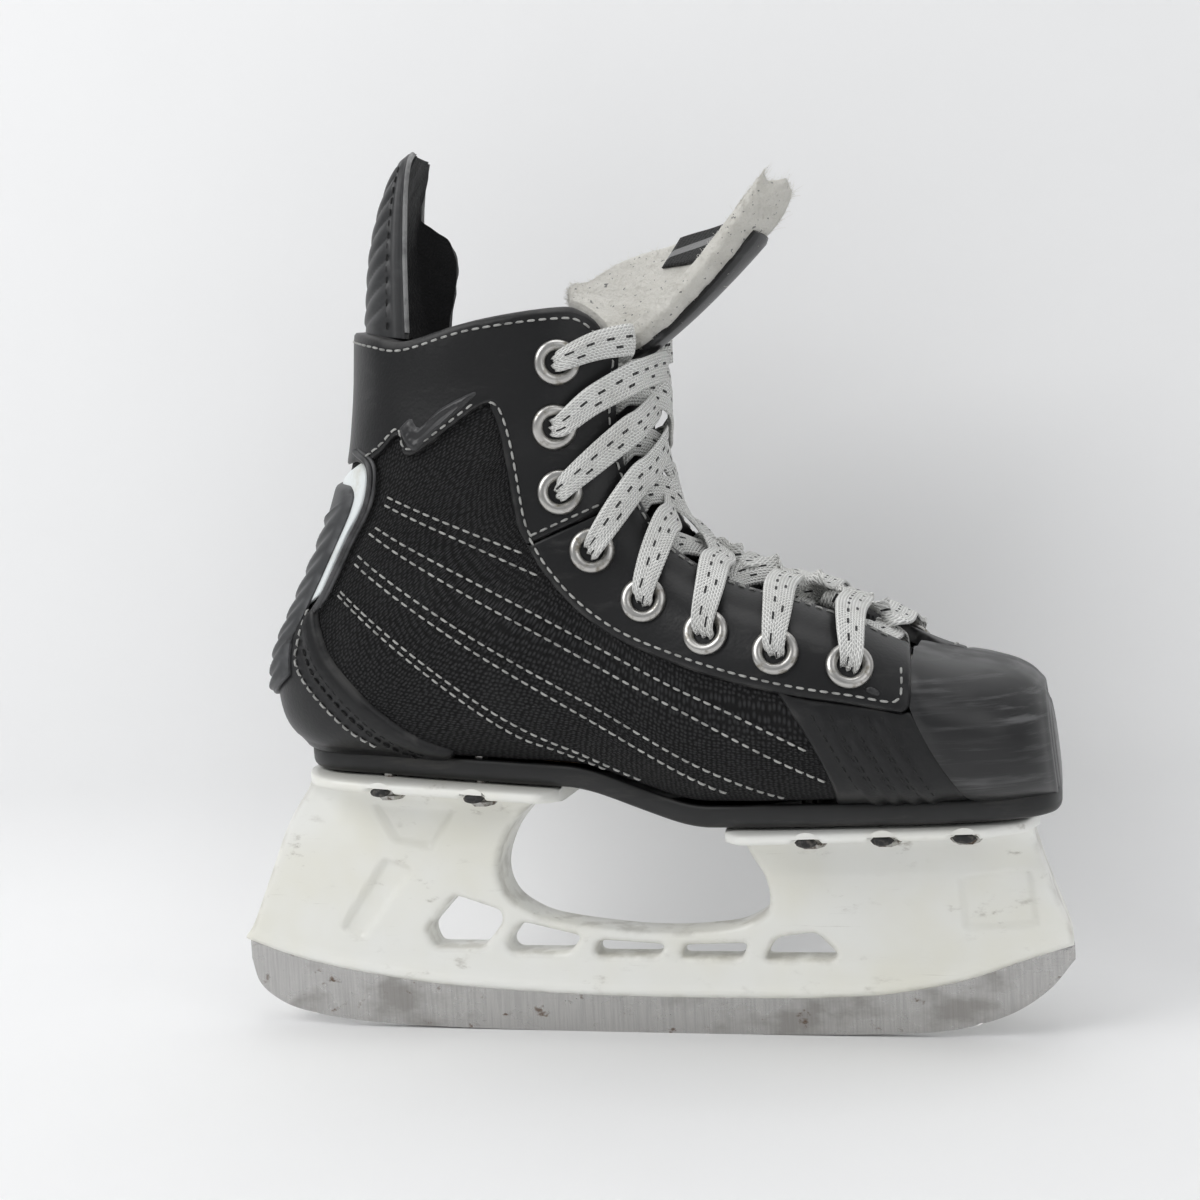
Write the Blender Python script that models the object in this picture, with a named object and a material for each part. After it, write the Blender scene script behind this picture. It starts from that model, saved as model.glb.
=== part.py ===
"""A right-foot ice hockey skate: boot, tongue, tendon guard, lace, holder and steel runner.

The skate stands on its runner. +X points to the toe, +Z points up and +Y to the medial side,
so the lateral side faces -Y. The origin is on the ice, under the middle of the skate.
"""
import bmesh
import bpy
from math import cos, pi, radians, sin
from mathutils import Matrix, Vector
from mathutils.geometry import delaunay_2d_cdt

# ---------------------------------------------------------------- driving dimensions (metres)
BOOT_LENGTH = 0.213            # back of the heel to the front of the toe cap
BOOT_HEIGHT = 0.130            # insole level at the ball to the top of the collar
BOOT_WIDTH = 0.080             # outside width across the ball
BALL_HEIGHT = 0.0603           # ice to the underside of the outsole at the ball
HEEL_HEIGHT = 0.0770           # ice to the underside of the outsole at the heel
SOLE_THICKNESS = 0.0030
SOLE_RIM_HEIGHT = 0.0062       # how far the outsole wraps up the side of the boot
FIT_GAP = 0.0004               # between two pieces that lie on each other
SEAM_GAP = 0.0003              # between two pieces that meet edge to edge
FACING_THICKNESS = 0.0014      # collar, eyestay, vamp and heel band
QUARTER_THICKNESS = 0.0020
LINER_THICKNESS = 0.0010
ANKLE_PAD_THICKNESS = 0.0030
BOARD_THICKNESS = 0.0020
FOOTBED_THICKNESS = 0.0035
TOE_CAP_THICKNESS = 0.0017
COUNTER_THICKNESS = 0.0022     # ribbed plate behind the heel
COUNTER_RIB = 0.0006
GUARD_SHELL_THICKNESS = 0.0022
GUARD_PANEL_THICKNESS = 0.0010
GUARD_LINING_THICKNESS = 0.0025
TONGUE_FACING_THICKNESS = 0.0010
TONGUE_FELT_THICKNESS = 0.0050
EYELET_FLANGE_RADIUS = 0.0058
EYELET_BORE_RADIUS = 0.0030
EYELET_WALL = 0.0004
EYELET_FLANGE_HEIGHT = 0.0012
LACE_WIDTH = 0.0082
LACE_THICKNESS = 0.0013
LACE_PINCHED_WIDTH = 0.0040    # gathered to pass through an eyelet
RUNNER_HALF_LENGTH = 0.1145
RUNNER_THICKNESS = 0.0030
RUNNER_SHOWING = 0.0108        # steel that stands below the holder
RUNNER_IN_SLOT = 0.0070        # steel hidden in the holder's slot
RUNNER_SIDE_GAP = 0.00035
BOLT_RADIUS = 0.0020
BOLT_HEAD_RADIUS = 0.0030
BOLT_HEAD_LENGTH = 0.0070
NUT_RADIUS = 0.0042
NUT_HEIGHT = 0.0030
RIVET_RADIUS = 0.0019
RIVET_HEAD_RADIUS = 0.0040
RIVET_HEAD_HEIGHT = 0.0012
FLANGE_THICKNESS = 0.0040
RAIL_HALF_WIDTH = 0.0042       # holder just above the steel
PEDESTAL_HALF_WIDTH = 0.0090   # holder just below the flanges

# The pattern pieces are drawn in millimetres for one size and graded to the dimensions above.
PATTERN_LENGTH = 213.0
PATTERN_HEIGHT = 130.0
PATTERN_HALF_WIDTH = 40.0
PATTERN_INSOLE = 63.7
PATTERN_BALL = 60.3
MM = 0.001

SEGMENTS = 12                  # sides of a small turned piece
LATERAL, MEDIAL = -1, 1        # sign of Y


def length_of(x):
    """Pattern millimetres along the boot to metres."""
    return x * BOOT_LENGTH / PATTERN_LENGTH


def width_of(y):
    """Pattern millimetres across the boot to metres."""
    return y * BOOT_WIDTH / 2 / PATTERN_HALF_WIDTH


def sole_bottom(x):
    """Underside of the outsole at a pattern station: heel seat, arch, then ball and toe."""
    heel_end, arch_start, arch_end = -98.0, -16.0, 25.0
    heel_fall, toe_rise = 0.0063, 0.0022
    if x <= arch_start:
        return HEEL_HEIGHT - heel_fall * (x - heel_end) / (arch_start - heel_end)
    if x >= arch_end:
        return BALL_HEIGHT + toe_rise * (x - arch_end) / (113.0 - arch_end)
    t = (x - arch_start) / (arch_end - arch_start)
    ease = t * t * (3.0 - 2.0 * t)
    high = HEEL_HEIGHT - heel_fall
    return high + (BALL_HEIGHT - high) * ease


def grade(x, z):
    """Side-view pattern point of the boot, in millimetres, to metres."""
    insole = BALL_HEIGHT + SOLE_THICKNESS + FIT_GAP
    rise = (HEEL_HEIGHT - BALL_HEIGHT - 0.0167) * min(1.0, max(0.0, (25.0 - x) / 41.0))
    return length_of(x), insole + rise + (z - PATTERN_INSOLE) * BOOT_HEIGHT / PATTERN_HEIGHT


# ---------------------------------------------------------------- boot form
# One row per section, from the toe to the top of the collar: the top or front point (x, z), the
# bottom or back point (x, z; z is None where the boot stands on its outsole), the lateral and
# medial half widths, the squareness of the top and bottom halves, where along the section it is
# widest, and the half angles of the throat opening on the lateral and medial side.
SECTIONS = [
    (110.6, 89.0, 112.6, None, 15.0, 15.0, 2.6, 2.8, 0.55, 0, 0),
    (108.4, 95.0, 110.8, None, 24.5, 24.0, 2.7, 3.0, 0.55, 0, 0),
    (103.5, 98.4, 106.0, None, 31.0, 30.5, 2.8, 3.1, 0.55, 0, 0),
    (96.0, 100.6, 98.0, None, 35.6, 35.0, 2.9, 3.2, 0.55, 0, 0),
    (86.0, 102.6, 87.0, None, 38.2, 38.0, 3.1, 3.2, 0.55, 0, 0),
    (76.0, 106.8, 75.0, None, 39.4, 39.6, 3.4, 3.2, 0.55, 13, 11),
    (64.0, 113.4, 62.0, None, 40.0, 40.0, 3.5, 3.2, 0.55, 16, 15),
    (51.0, 118.6, 48.0, None, 40.0, 39.6, 3.5, 3.2, 0.55, 17, 16),
    (38.0, 122.8, 34.0, None, 38.8, 38.2, 3.4, 3.2, 0.54, 18, 16),
    (27.0, 128.0, 20.0, None, 36.6, 36.2, 3.2, 3.2, 0.53, 20, 18),
    (19.0, 134.5, 6.0, None, 34.4, 34.4, 3.0, 3.2, 0.52, 23, 20),
    (14.5, 141.5, -10.0, None, 33.0, 33.4, 2.8, 3.2, 0.50, 26, 22),
    (12.8, 148.0, -28.0, None, 32.4, 33.4, 2.6, 3.2, 0.48, 29, 24),
    (12.0, 153.5, -48.0, None, 32.6, 33.8, 2.5, 3.2, 0.46, 31, 26),
    (12.0, 158.5, -68.0, None, 33.0, 34.0, 2.5, 3.0, 0.45, 32, 26),
    (12.0, 163.0, -84.0, None, 33.0, 34.0, 2.5, 2.8, 0.44, 32, 26),
    (12.0, 167.0, -94.6, 86.0, 33.0, 33.8, 2.5, 2.5, 0.44, 32, 26),
    (12.0, 171.0, -98.4, 96.0, 33.0, 33.6, 2.5, 2.3, 0.44, 32, 26),
    (12.2, 175.0, -97.2, 108.0, 33.0, 33.6, 2.5, 2.2, 0.44, 32, 26),
    (12.4, 179.0, -90.0, 122.0, 33.0, 33.6, 2.5, 2.2, 0.44, 32, 26),
    (12.6, 183.0, -81.0, 139.0, 33.0, 33.4, 2.5, 2.2, 0.45, 32, 26),
    (12.8, 187.0, -74.6, 156.0, 32.6, 33.0, 2.5, 2.2, 0.46, 32, 26),
    (13.0, 191.5, -71.0, 174.0, 32.2, 32.6, 2.5, 2.2, 0.47, 32, 26),
    (13.2, 196.0, -69.0, 196.0, 32.0, 32.4, 2.5, 2.2, 0.48, 32, 26),
]
LAST = len(SECTIONS) - 1
SIDE_COLUMNS = 10              # from the throat edge to the bottom middle, on each side
BOTTOM_COLUMN = SIDE_COLUMNS
RING_COLUMNS = 2 * SIDE_COLUMNS


def graded_section(row):
    """A section's row in metres."""
    ax, az, bx, bz, lateral, medial, top, bottom, widest, throat_l, throat_m = row
    wide = BOOT_WIDTH / 2 / PATTERN_HALF_WIDTH
    front = grade(ax, az)
    if bz is None:
        back = (length_of(bx), sole_bottom(bx) + SOLE_THICKNESS + FIT_GAP)
    else:
        back = grade(bx, bz)
    return front + back + (lateral * wide, medial * wide, top, bottom, widest, throat_l, throat_m)


FORM = [graded_section(row) for row in SECTIONS]


def section_at(i):
    """The form's values between two sections, on a Catmull-Rom curve through the rows."""
    k = min(max(int(i), 0), LAST - 1)
    t = i - k
    p0, p1, p2, p3 = (FORM[min(max(k + step, 0), LAST)] for step in (-1, 0, 1, 2))
    return [
        b + 0.5 * t * (c - a + t * (2 * a - 5 * b + 4 * c - d + t * (3 * (b - c) + d - a)))
        for a, b, c, d in zip(p0, p1, p2, p3)
    ]


def skin(i, angle, depth=0.0):
    """A point of the boot: section, angle from the top middle (lateral is positive), depth inward."""
    ax, az, bx, bz, lateral, medial, top, bottom, widest = section_at(i)[:9]
    front, back = Vector((ax, 0.0, az)), Vector((bx, 0.0, bz))
    along = back - front
    span = along.length
    along /= span
    centre = front + along * span * widest
    a = radians(angle)
    c, s = cos(a), sin(a)
    power = 2.0 / (top if c > 0 else bottom)
    reach = (span * widest if c > 0 else span * (1.0 - widest)) - depth
    wide = (lateral if s > 0 else medial) - depth
    across = wide * abs(s) ** power
    shift = -reach * abs(c) ** power if c > 0 else reach * abs(c) ** power
    return centre + along * shift + Vector((0.0, -across if s > 0 else across, 0.0))


def ring_angle(i, column):
    """Angle of a grid column: 0 is the lateral throat edge, the last is the medial one."""
    throat_l, throat_m = FORM[i][9:11]
    if column <= SIDE_COLUMNS:
        return throat_l + (180.0 - throat_l) * column / SIDE_COLUMNS
    return -(throat_m + (180.0 - throat_m) * (RING_COLUMNS - column) / SIDE_COLUMNS)


def place_on_side(x, z, side):
    """Section and angle of the boot's surface under a side-view pattern point."""
    gx, gz = grade(x, z)
    i, angle = 8.0, 60.0
    best = 1e9
    for k in range(4 * LAST):
        for a in range(15, 166, 10):
            p = skin(k / 4, -side * a)
            gap = (p.x - gx) ** 2 + (p.z - gz) ** 2
            if gap < best:
                best, i, angle = gap, k / 4, -side * a
    step_i, step_a = 0.25, 6.0
    while step_a > 0.02:
        moves = [(i + di, angle + da) for di in (-step_i, 0, step_i) for da in (-step_a, 0, step_a)]
        gaps = []
        for m in moves:
            p = skin(m[0], m[1])
            gaps.append((p.x - gx) ** 2 + (p.z - gz) ** 2)
        k = gaps.index(min(gaps))
        if k == 4:
            step_i, step_a = step_i / 2, step_a / 2
        i, angle = moves[k]
    return i, angle


# ---------------------------------------------------------------- building blocks
def clear_scene():
    for old in list(bpy.data.objects):
        bpy.data.objects.remove(old, do_unlink=True)


def material(name, colour, roughness, metallic=0.0):
    made = bpy.data.materials.get(name)
    if made is None:
        made = bpy.data.materials.new(name)
        made.use_nodes = True
        shader = made.node_tree.nodes["Principled BSDF"]
        shader.inputs["Base Color"].default_value = (*colour, 1.0)
        shader.inputs["Roughness"].default_value = roughness
        shader.inputs["Metallic"].default_value = metallic
    return made


def black_leather():
    return material("black_leather", (0.018, 0.018, 0.019), 0.42)


def black_nylon():
    return material("black_nylon", (0.012, 0.012, 0.013), 0.75)


def grey_moulding():
    return material("grey_moulding", (0.055, 0.056, 0.058), 0.5)


def off_white_plastic():
    return material("off_white_plastic", (0.78, 0.77, 0.70), 0.38)


def steel():
    return material("steel", (0.52, 0.51, 0.49), 0.3, 1.0)


def felt():
    return material("felt", (0.68, 0.66, 0.60), 0.95)


def object_from(name, verts, faces, finish):
    mesh = bpy.data.meshes.new(name)
    mesh.from_pydata([tuple(v) for v in verts], [], faces)
    bm = bmesh.new()
    bm.from_mesh(mesh)
    bmesh.ops.remove_doubles(bm, verts=bm.verts, dist=1e-7)
    bmesh.ops.recalc_face_normals(bm, faces=bm.faces)
    if bm.calc_volume(signed=True) < 0:
        bmesh.ops.reverse_faces(bm, faces=bm.faces)
    bm.to_mesh(mesh)
    bm.free()
    mesh.materials.append(finish)
    made = bpy.data.objects.new(name, mesh)
    bpy.context.collection.objects.link(made)
    return made


def shell(name, cells, outer, inner, finish, capped=False):
    """A closed solid over grid cells (row, column), between an outer and an inner surface."""
    index, verts, faces = {}, [], []

    def vertex(layer, i, j):
        key = (layer, i, j)
        if key not in index:
            index[key] = len(verts)
            verts.append((outer if layer == 0 else inner)(i, j))
        return index[key]

    edges = {}
    for i, j in sorted(cells):
        corners = [(i, j), (i + 1, j), (i + 1, j + 1), (i, j + 1)]
        for half in (corners[:3], [corners[0]] + corners[2:]):
            faces.append([vertex(0, *c) for c in half])
            faces.append([vertex(1, *c) for c in reversed(half)])
        for a, b in zip(corners, corners[1:] + corners[:1]):
            key = (min(a, b), max(a, b))
            edges[key] = edges.get(key, 0) + 1
    rim = [edge for edge, count in edges.items() if count == 1]

    def place(corner):
        return tuple(round(value, 6) for value in verts[index[(0, *corner)]])

    met = {}
    for edge in rim:
        key = frozenset(place(corner) for corner in edge)
        met[key] = met.get(key, 0) + 1
    rows_start = min(i for i, j in cells)
    front_columns = [j for i, j in sorted(cells) if i == rows_start]
    for a, b in rim:
        if capped and a[0] == rows_start and b[0] == rows_start:
            continue
        if met[frozenset((place(a), place(b)))] > 1:
            continue
        faces.append([vertex(0, *a), vertex(0, *b), vertex(1, *b), vertex(1, *a)])
    if capped:
        ring = [(rows_start, j) for j in front_columns]
        faces.append([vertex(0, *c) for c in reversed(ring)])
        faces.append([vertex(1, *c) for c in ring])
    return object_from(name, verts, faces, finish)


def on_boot(depth):
    """Surface of the whole ring at a depth, which may be a number or a function of the cell."""
    def point(i, j):
        d = depth(i, j) if callable(depth) else depth
        return skin(i, ring_angle(i, j), d)
    return point


def on_half(depth, side):
    """As on_boot, but the bottom middle stops short of the centre plane by half a seam."""
    whole = on_boot(depth)

    def point(i, j):
        p = whole(i, j)
        if abs(p.y) < SEAM_GAP / 2:
            p.y = side * SEAM_GAP / 2
        return p
    return point


def half_columns(side):
    return range(0, SIDE_COLUMNS) if side == LATERAL else range(SIDE_COLUMNS, RING_COLUMNS)


def hollow(name, depth):
    """A cutter: everything inside the boot's surface at a depth, with the throat closed straight across."""
    point, verts, faces = on_boot(depth), [], []
    ring = RING_COLUMNS + 1
    for i in range(LAST + 1):
        verts += [point(i, j) for j in range(ring)]
    rows = LAST
    for r in range(rows):
        for j in range(ring):
            a, b = r * ring + j, r * ring + (j + 1) % ring
            faces += [[a, b, b + ring], [a, b + ring, a + ring]]
    faces.append(list(range(ring))[::-1])
    faces.append([rows * ring + j for j in range(ring)])
    return as_cutter(object_from(name, verts, faces, black_leather()))


def under_foot(column, reach):
    """True for the columns on either side of the bottom middle."""
    return BOTTOM_COLUMN - reach <= column < BOTTOM_COLUMN + reach


def prism_y(name, outline, low, high):
    """A cutter: a side-view outline in metres, extruded along Y."""
    count = len(outline)
    verts = [(x, low, z) for x, z in outline] + [(x, high, z) for x, z in outline]
    faces = [list(range(count)), list(range(2 * count - 1, count - 1, -1))]
    faces += [[k, k + count, (k + 1) % count + count, (k + 1) % count] for k in range(count)]
    return as_cutter(object_from(name, verts, faces, black_leather()))


def as_cutter(tool):
    tool.hide_render = True
    tool.display_type = "WIRE"
    return tool


def cut(target, tool, operation="DIFFERENCE"):
    step = target.modifiers.new(tool.name, "BOOLEAN")
    step.operation = operation
    step.object = tool
    step.solver = "EXACT"


def side_range(side):
    deep = BOOT_WIDTH
    return (-deep, 0.0) if side == LATERAL else (0.0, deep)


def lathe(name, profile, finish, sides=SEGMENTS):
    """A turned solid about Z from a profile of (radius, z); it closes on the axis or on itself."""
    verts, faces, rings = [], [], []
    for radius, z in profile:
        if radius < 1e-9:
            rings.append([len(verts)] * sides)
            verts.append((0.0, 0.0, z))
        else:
            rings.append([len(verts) + k for k in range(sides)])
            verts += [(radius * cos(2 * pi * k / sides), radius * sin(2 * pi * k / sides), z)
                      for k in range(sides)]
    closed = profile[0][0] > 1e-9
    pairs = list(zip(rings, rings[1:]))
    if closed:
        pairs.append((rings[-1], rings[0]))
    for low, high in pairs:
        for k in range(sides):
            n = (k + 1) % sides
            face = []
            for v in (low[k], low[n], high[n], high[k]):
                if v not in face:
                    face.append(v)
            faces.append(face)
    made = object_from(name, verts, faces, finish)
    made.data.shade_smooth()
    made.data.set_sharp_from_angle(angle=radians(40))
    return made


def stand_on(target, point, direction):
    """Moves a piece turned about Z so that its origin is at a point and its Z along a direction."""
    turn = Vector((0, 0, 1)).rotation_difference(direction).to_matrix().to_4x4()
    target.matrix_world = Matrix.Translation(point) @ turn


def copy_of(source, name):
    twin = bpy.data.objects.new(name, source.data)
    bpy.context.collection.objects.link(twin)
    return twin


def cylinders(name, places, radius, half_length, sides=SEGMENTS):
    """One cutter of several cylinders: places are (centre, direction)."""
    verts, faces = [], []
    for centre, direction in places:
        turn = Vector((0, 0, 1)).rotation_difference(direction).to_matrix()
        start = len(verts)
        for z in (-half_length, half_length):
            for k in range(sides):
                a = 2 * pi * k / sides
                verts.append(Vector(centre) + turn @ Vector((radius * cos(a), radius * sin(a), z)))
        faces.append([start + k for k in range(sides)][::-1])
        faces.append([start + sides + k for k in range(sides)])
        faces += [[start + k, start + (k + 1) % sides, start + sides + (k + 1) % sides, start + sides + k]
                  for k in range(sides)]
    return as_cutter(object_from(name, verts, faces, black_leather()))


def lead(x):
    """The medial eyestay and vamp reach further forward than the lateral ones."""
    return x + max(0.0, x + 45.0) * 0.09


def outline_for(side, points):
    """A side-view pattern outline in metres, for one side of the boot."""
    return [grade(x if side == LATERAL else lead(x), z) for x, z in points]


def shifted(points, dx, dz):
    return [(x + dx, z + dz) for x, z in points]


SIDE_NAME = {LATERAL: "lateral", MEDIAL: "medial"}

# ---------------------------------------------------------------- seams of the side view (mm)
COLLAR_TOP = [(4.8, 183.0), (4.0, 189.0), (0.0, 193.0), (-6.0, 194.0), (-28.0, 192.5), (-47.0, 189.0),
              (-58.0, 191.0), (-75.0, 194.0)]
COLLAR_EDGE = [(-69.0, 159.0), (-56.5, 161.0), (-50.5, 165.0), (-46.7, 159.5), (-26.5, 171.3),
               (-23.8, 170.0), (-21.5, 162.0), (-19.0, 142.0), (-16.5, 135.5)]
OVERLAP_SEAM = [(-16.5, 135.5), (3.5, 143.5), (22.0, 151.0)]
EYESTAY_EDGE = [(-16.5, 135.5), (-12.0, 127.5), (-4.5, 118.5), (6.5, 110.5), (21.5, 104.3), (36.5, 99.6),
                (51.0, 96.2), (63.5, 94.0), (76.0, 91.5)]
NYLON_FRONT = [(46.5, 97.2), (54.0, 84.0), (58.5, 72.5), (56.0, 60.0)]
TOE_SEAM = [(79.5, 116.0), (78.3, 92.0), (91.5, 66.0), (92.5, 58.0)]
HEEL_EDGE = [(-79.0, 121.0), (-77.5, 114.0), (-73.0, 105.0), (-56.0, 87.0), (-40.0, 78.0)]
EYELETS = [(-6.5, 180.8), (-8.2, 164.7), (-7.6, 148.2), (0.0, 133.1), (13.0, 120.3), (29.0, 111.9),
           (46.4, 106.8), (64.1, 102.8)]

OVERLAY_DEPTH = (0.0, FACING_THICKNESS)
QUARTER_DEPTH = (OVERLAY_DEPTH[1] + FIT_GAP, OVERLAY_DEPTH[1] + FIT_GAP + QUARTER_THICKNESS)
LINING_DEPTH = QUARTER_DEPTH[1] + FIT_GAP
LINING_START = {LATERAL: 4, MEDIAL: RING_COLUMNS - 5}


def sole_line(offset):
    """Side-view points along the outsole's underside, raised by an offset."""
    stations = [-110.0, -60.0, -16.0, -8.0, 0.0, 8.0, 16.0, 25.0, 70.0, 120.0]
    return [(length_of(x), sole_bottom(x) + offset) for x in stations]


def clear_of_outsole(outline_below):
    """Trims a piece that ends above the rim of the outsole."""
    return prism_y(outline_below, sole_line(-0.03) + sole_line(SOLE_RIM_HEIGHT + SEAM_GAP)[::-1],
                   -BOOT_WIDTH, BOOT_WIDTH)


# ---------------------------------------------------------------- boot: quarter, facings, toe cap
def make_quarters(eyelet_holes):
    for side in (LATERAL, MEDIAL):
        cells = [(i, j) for i in range(3, LAST) for j in half_columns(side)
                 if not (i < 15 and under_foot(j, 3))]
        piece = shell("quarter_" + SIDE_NAME[side], cells, on_half(QUARTER_DEPTH[0], side),
                      on_half(QUARTER_DEPTH[1], side), black_nylon())
        ahead = outline_for(side, shifted(TOE_SEAM, -0.6, 0.0) + [(130.0, 58.0), (130.0, 116.0)])
        cut(piece, prism_y("quarter_front_" + SIDE_NAME[side], ahead, -BOOT_WIDTH, BOOT_WIDTH))
        sky = [(-90.0, 210.0), (30.0, 210.0), (30.0, 180.0)]
        above = outline_for(side, shifted(COLLAR_TOP, 0.0, -1.0) + sky)
        cut(piece, prism_y("quarter_top_" + SIDE_NAME[side], above, -BOOT_WIDTH, BOOT_WIDTH))
        cut(piece, eyelet_holes[side])


def overlay(name, side, cells, outline, finish, depth=OVERLAY_DEPTH):
    piece = shell(name, cells, on_half(depth[0], side), on_half(depth[1], side), finish)
    low, high = side_range(side)
    cut(piece, prism_y(name + "_pattern", outline, low - 0.001, high + 0.001), "INTERSECT")
    return piece


def make_facings(eyelet_holes, rim_tool):
    for side in (LATERAL, MEDIAL):
        columns = half_columns(side)
        name = SIDE_NAME[side]
        collar = COLLAR_TOP + [(-90.0, 196.0), (-90.0, 159.0)] + COLLAR_EDGE + OVERLAP_SEAM[1:]
        collar += [(26.0, 183.0)]
        piece = overlay("collar_" + name, side, [(i, j) for i in range(10, LAST) for j in columns],
                        outline_for(side, collar), black_leather())
        cut(piece, eyelet_holes[side])
        low_seam = shifted(OVERLAP_SEAM, 0.3, -0.5)
        eyestay = low_seam[:1] + shifted(EYESTAY_EDGE[1:], 0.0, 0.0)
        eyestay += [(78.0, 93.0), (78.4, 104.0), (75.5, 110.0), (72.0, 125.0), (40.0, 140.0)] + low_seam[:0:-1]
        upper = [(i, j) for i in range(3, 16) for j in columns]
        piece = overlay("eyestay_" + name, side, upper, outline_for(side, eyestay), black_leather())
        cut(piece, eyelet_holes[side])
        vamp_top = [p for p in shifted(EYESTAY_EDGE, 0.0, -0.5) if p[0] > 46.0]
        vamp = [NYLON_FRONT[0]] + vamp_top + shifted(TOE_SEAM[1:], -0.6, 0.0) + NYLON_FRONT[:0:-1]
        piece = overlay("vamp_" + name, side, [(i, j) for i in range(2, 9) for j in columns],
                        outline_for(side, vamp), black_leather())
        cut(piece, rim_tool)


def make_toe_cap(rim_tool):
    lining_side = on_boot(TOE_CAP_THICKNESS)

    def behind_wall(i, j):
        back = TOE_CAP_THICKNESS if i == 0 else 0.0
        return lining_side(i, j) - Vector((back, 0.0, 0.0))

    cells = [(i, j) for i in range(0, 6) for j in range(RING_COLUMNS)]
    piece = shell("toe_cap", cells, on_boot(0.0), behind_wall,
                  material("toe_plastic", (0.022, 0.022, 0.023), 0.48), capped=True)
    for side in (LATERAL, MEDIAL):
        low, high = side_range(side)
        behind = outline_for(side, TOE_SEAM + [(30.0, 58.0), (30.0, 116.0)])
        cut(piece, prism_y("toe_cap_back_" + SIDE_NAME[side], behind,
                           low - 0.0001 * (side == MEDIAL), high + 0.0001 * (side == LATERAL)))
    cut(piece, rim_tool)


def make_heel_pieces(rim_tool):
    cells = [(i, j) for i in range(11, 21) for j in range(4, RING_COLUMNS - 4)
             if not (i < 15 and under_foot(j, 3))]
    band = shell("heel_band", cells, on_boot(OVERLAY_DEPTH[0]), on_boot(OVERLAY_DEPTH[1]), black_leather())
    outline = [grade(x, z) for x, z in [(-115.0, 70.0), (-115.0, 121.0)] + HEEL_EDGE + [(-40.0, 70.0)]]
    cut(band, prism_y("heel_band_pattern", outline, -BOOT_WIDTH, BOOT_WIDTH), "INTERSECT")
    cut(band, rim_tool)
    cells = [(i, j) for i in range(18, 22) for j in range(7, RING_COLUMNS - 7)]
    insert = shell("heel_insert", cells, on_boot(OVERLAY_DEPTH[0]), on_boot(OVERLAY_DEPTH[1]),
                   material("white_plastic", (0.80, 0.83, 0.82), 0.35))
    outline = [grade(x, z) for x, z in [(-115.0, 122.0), (-78.5, 122.0), (-68.0, 140.0), (-62.5, 148.0),
                                        (-63.0, 158.2), (-115.0, 158.2)]]
    cut(insert, prism_y("heel_insert_pattern", outline, -BOOT_WIDTH, BOOT_WIDTH), "INTERSECT")


def make_heel_counter():
    rows, columns, half_angle = 16, 6, 30.0
    first, last = 17.6, 20.9

    def at(depth_for_row):
        def point(r, c):
            i = first + (last - first) * r / rows
            angle = 180.0 - half_angle + 2 * half_angle * c / columns
            return skin(i, angle if angle <= 180.0 else angle - 360.0, depth_for_row(r))
        return point

    def ribbed(r):
        return -2 * FIT_GAP - COUNTER_THICKNESS + (COUNTER_RIB if r % 2 else 0.0)

    cells = [(r, c) for r in range(rows) for c in range(columns)]
    shell("heel_counter", cells, at(ribbed), at(lambda r: -2 * FIT_GAP), grey_moulding())


def pad_swell(i, column):
    """How far the ankle pad pushes the liner in, from 0 to 1."""
    side_column = column if column <= SIDE_COLUMNS else RING_COLUMNS - column
    along = max(0.0, 1.0 - ((i - 18.5) / 4.0) ** 2)
    around = max(0.0, 1.0 - ((side_column - 5.0) / 3.0) ** 2)
    return (along * around) ** 0.5


def make_inside():
    def liner_outer(i, j):
        return LINING_DEPTH + pad_swell(i, j) * (ANKLE_PAD_THICKNESS + FIT_GAP)

    def liner_inner(i, j):
        return liner_outer(i, j) + LINER_THICKNESS

    walls = []
    for i in range(1, LAST):
        for j in range(RING_COLUMNS):
            beside_throat = i > 3 and (j < LINING_START[LATERAL] or j > LINING_START[MEDIAL])
            if not (i < 15 and under_foot(j, 3)) and not beside_throat:
                walls.append((i, j))
    liner = shell("liner", walls, on_boot(liner_outer), on_boot(liner_inner),
                  material("liner_fabric", (0.02, 0.02, 0.021), 0.9))
    above = [grade(x, z) for x, z in shifted(COLLAR_TOP, 0.0, -1.5) + [(-90.0, 210.0), (30.0, 210.0),
                                                                       (30.0, 181.0)]]
    cut(liner, prism_y("liner_top", above, -BOOT_WIDTH, BOOT_WIDTH))
    for side in (LATERAL, MEDIAL):
        cells = []
        for i in range(15, 22):
            for j in half_columns(side):
                corners = [(i, j), (i + 1, j), (i, j + 1), (i + 1, j + 1)]
                if min(pad_swell(*c) for c in corners) > 0.3:
                    cells.append((i, j))
        shell("ankle_pad_" + SIDE_NAME[side], cells, on_boot(LINING_DEPTH),
              on_boot(lambda i, j: LINING_DEPTH + pad_swell(i, j) * (ANKLE_PAD_THICKNESS + FIT_GAP) - FIT_GAP),
              material("foam", (0.25, 0.25, 0.26), 0.95))


FILLER_INSET = 0.0185
BOARD_TOE = 109.5              # pattern station where the insole board ends, behind the toe cap's wall


def sole_half_width(x):
    """Half width of the boot's bottom at a pattern station."""
    stations = [(-97.0, 0.0), (-94.0, 13.0), (-88.0, 20.0), (-78.0, 25.0), (-60.0, 28.0), (-30.0, 29.0),
                (0.0, 31.0), (20.0, 33.5), (45.0, 36.0), (64.0, 36.2), (80.0, 34.5), (94.0, 30.5),
                (104.0, 24.0), (110.0, 14.0), (112.4, 0.0)]
    for (x0, w0), (x1, w1) in zip(stations, stations[1:]):
        if x0 <= x <= x1:
            return (w0 + (w1 - w0) * (x - x0) / (x1 - x0)) * BOOT_WIDTH / 2 / PATTERN_HALF_WIDTH
    return 0.0


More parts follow.
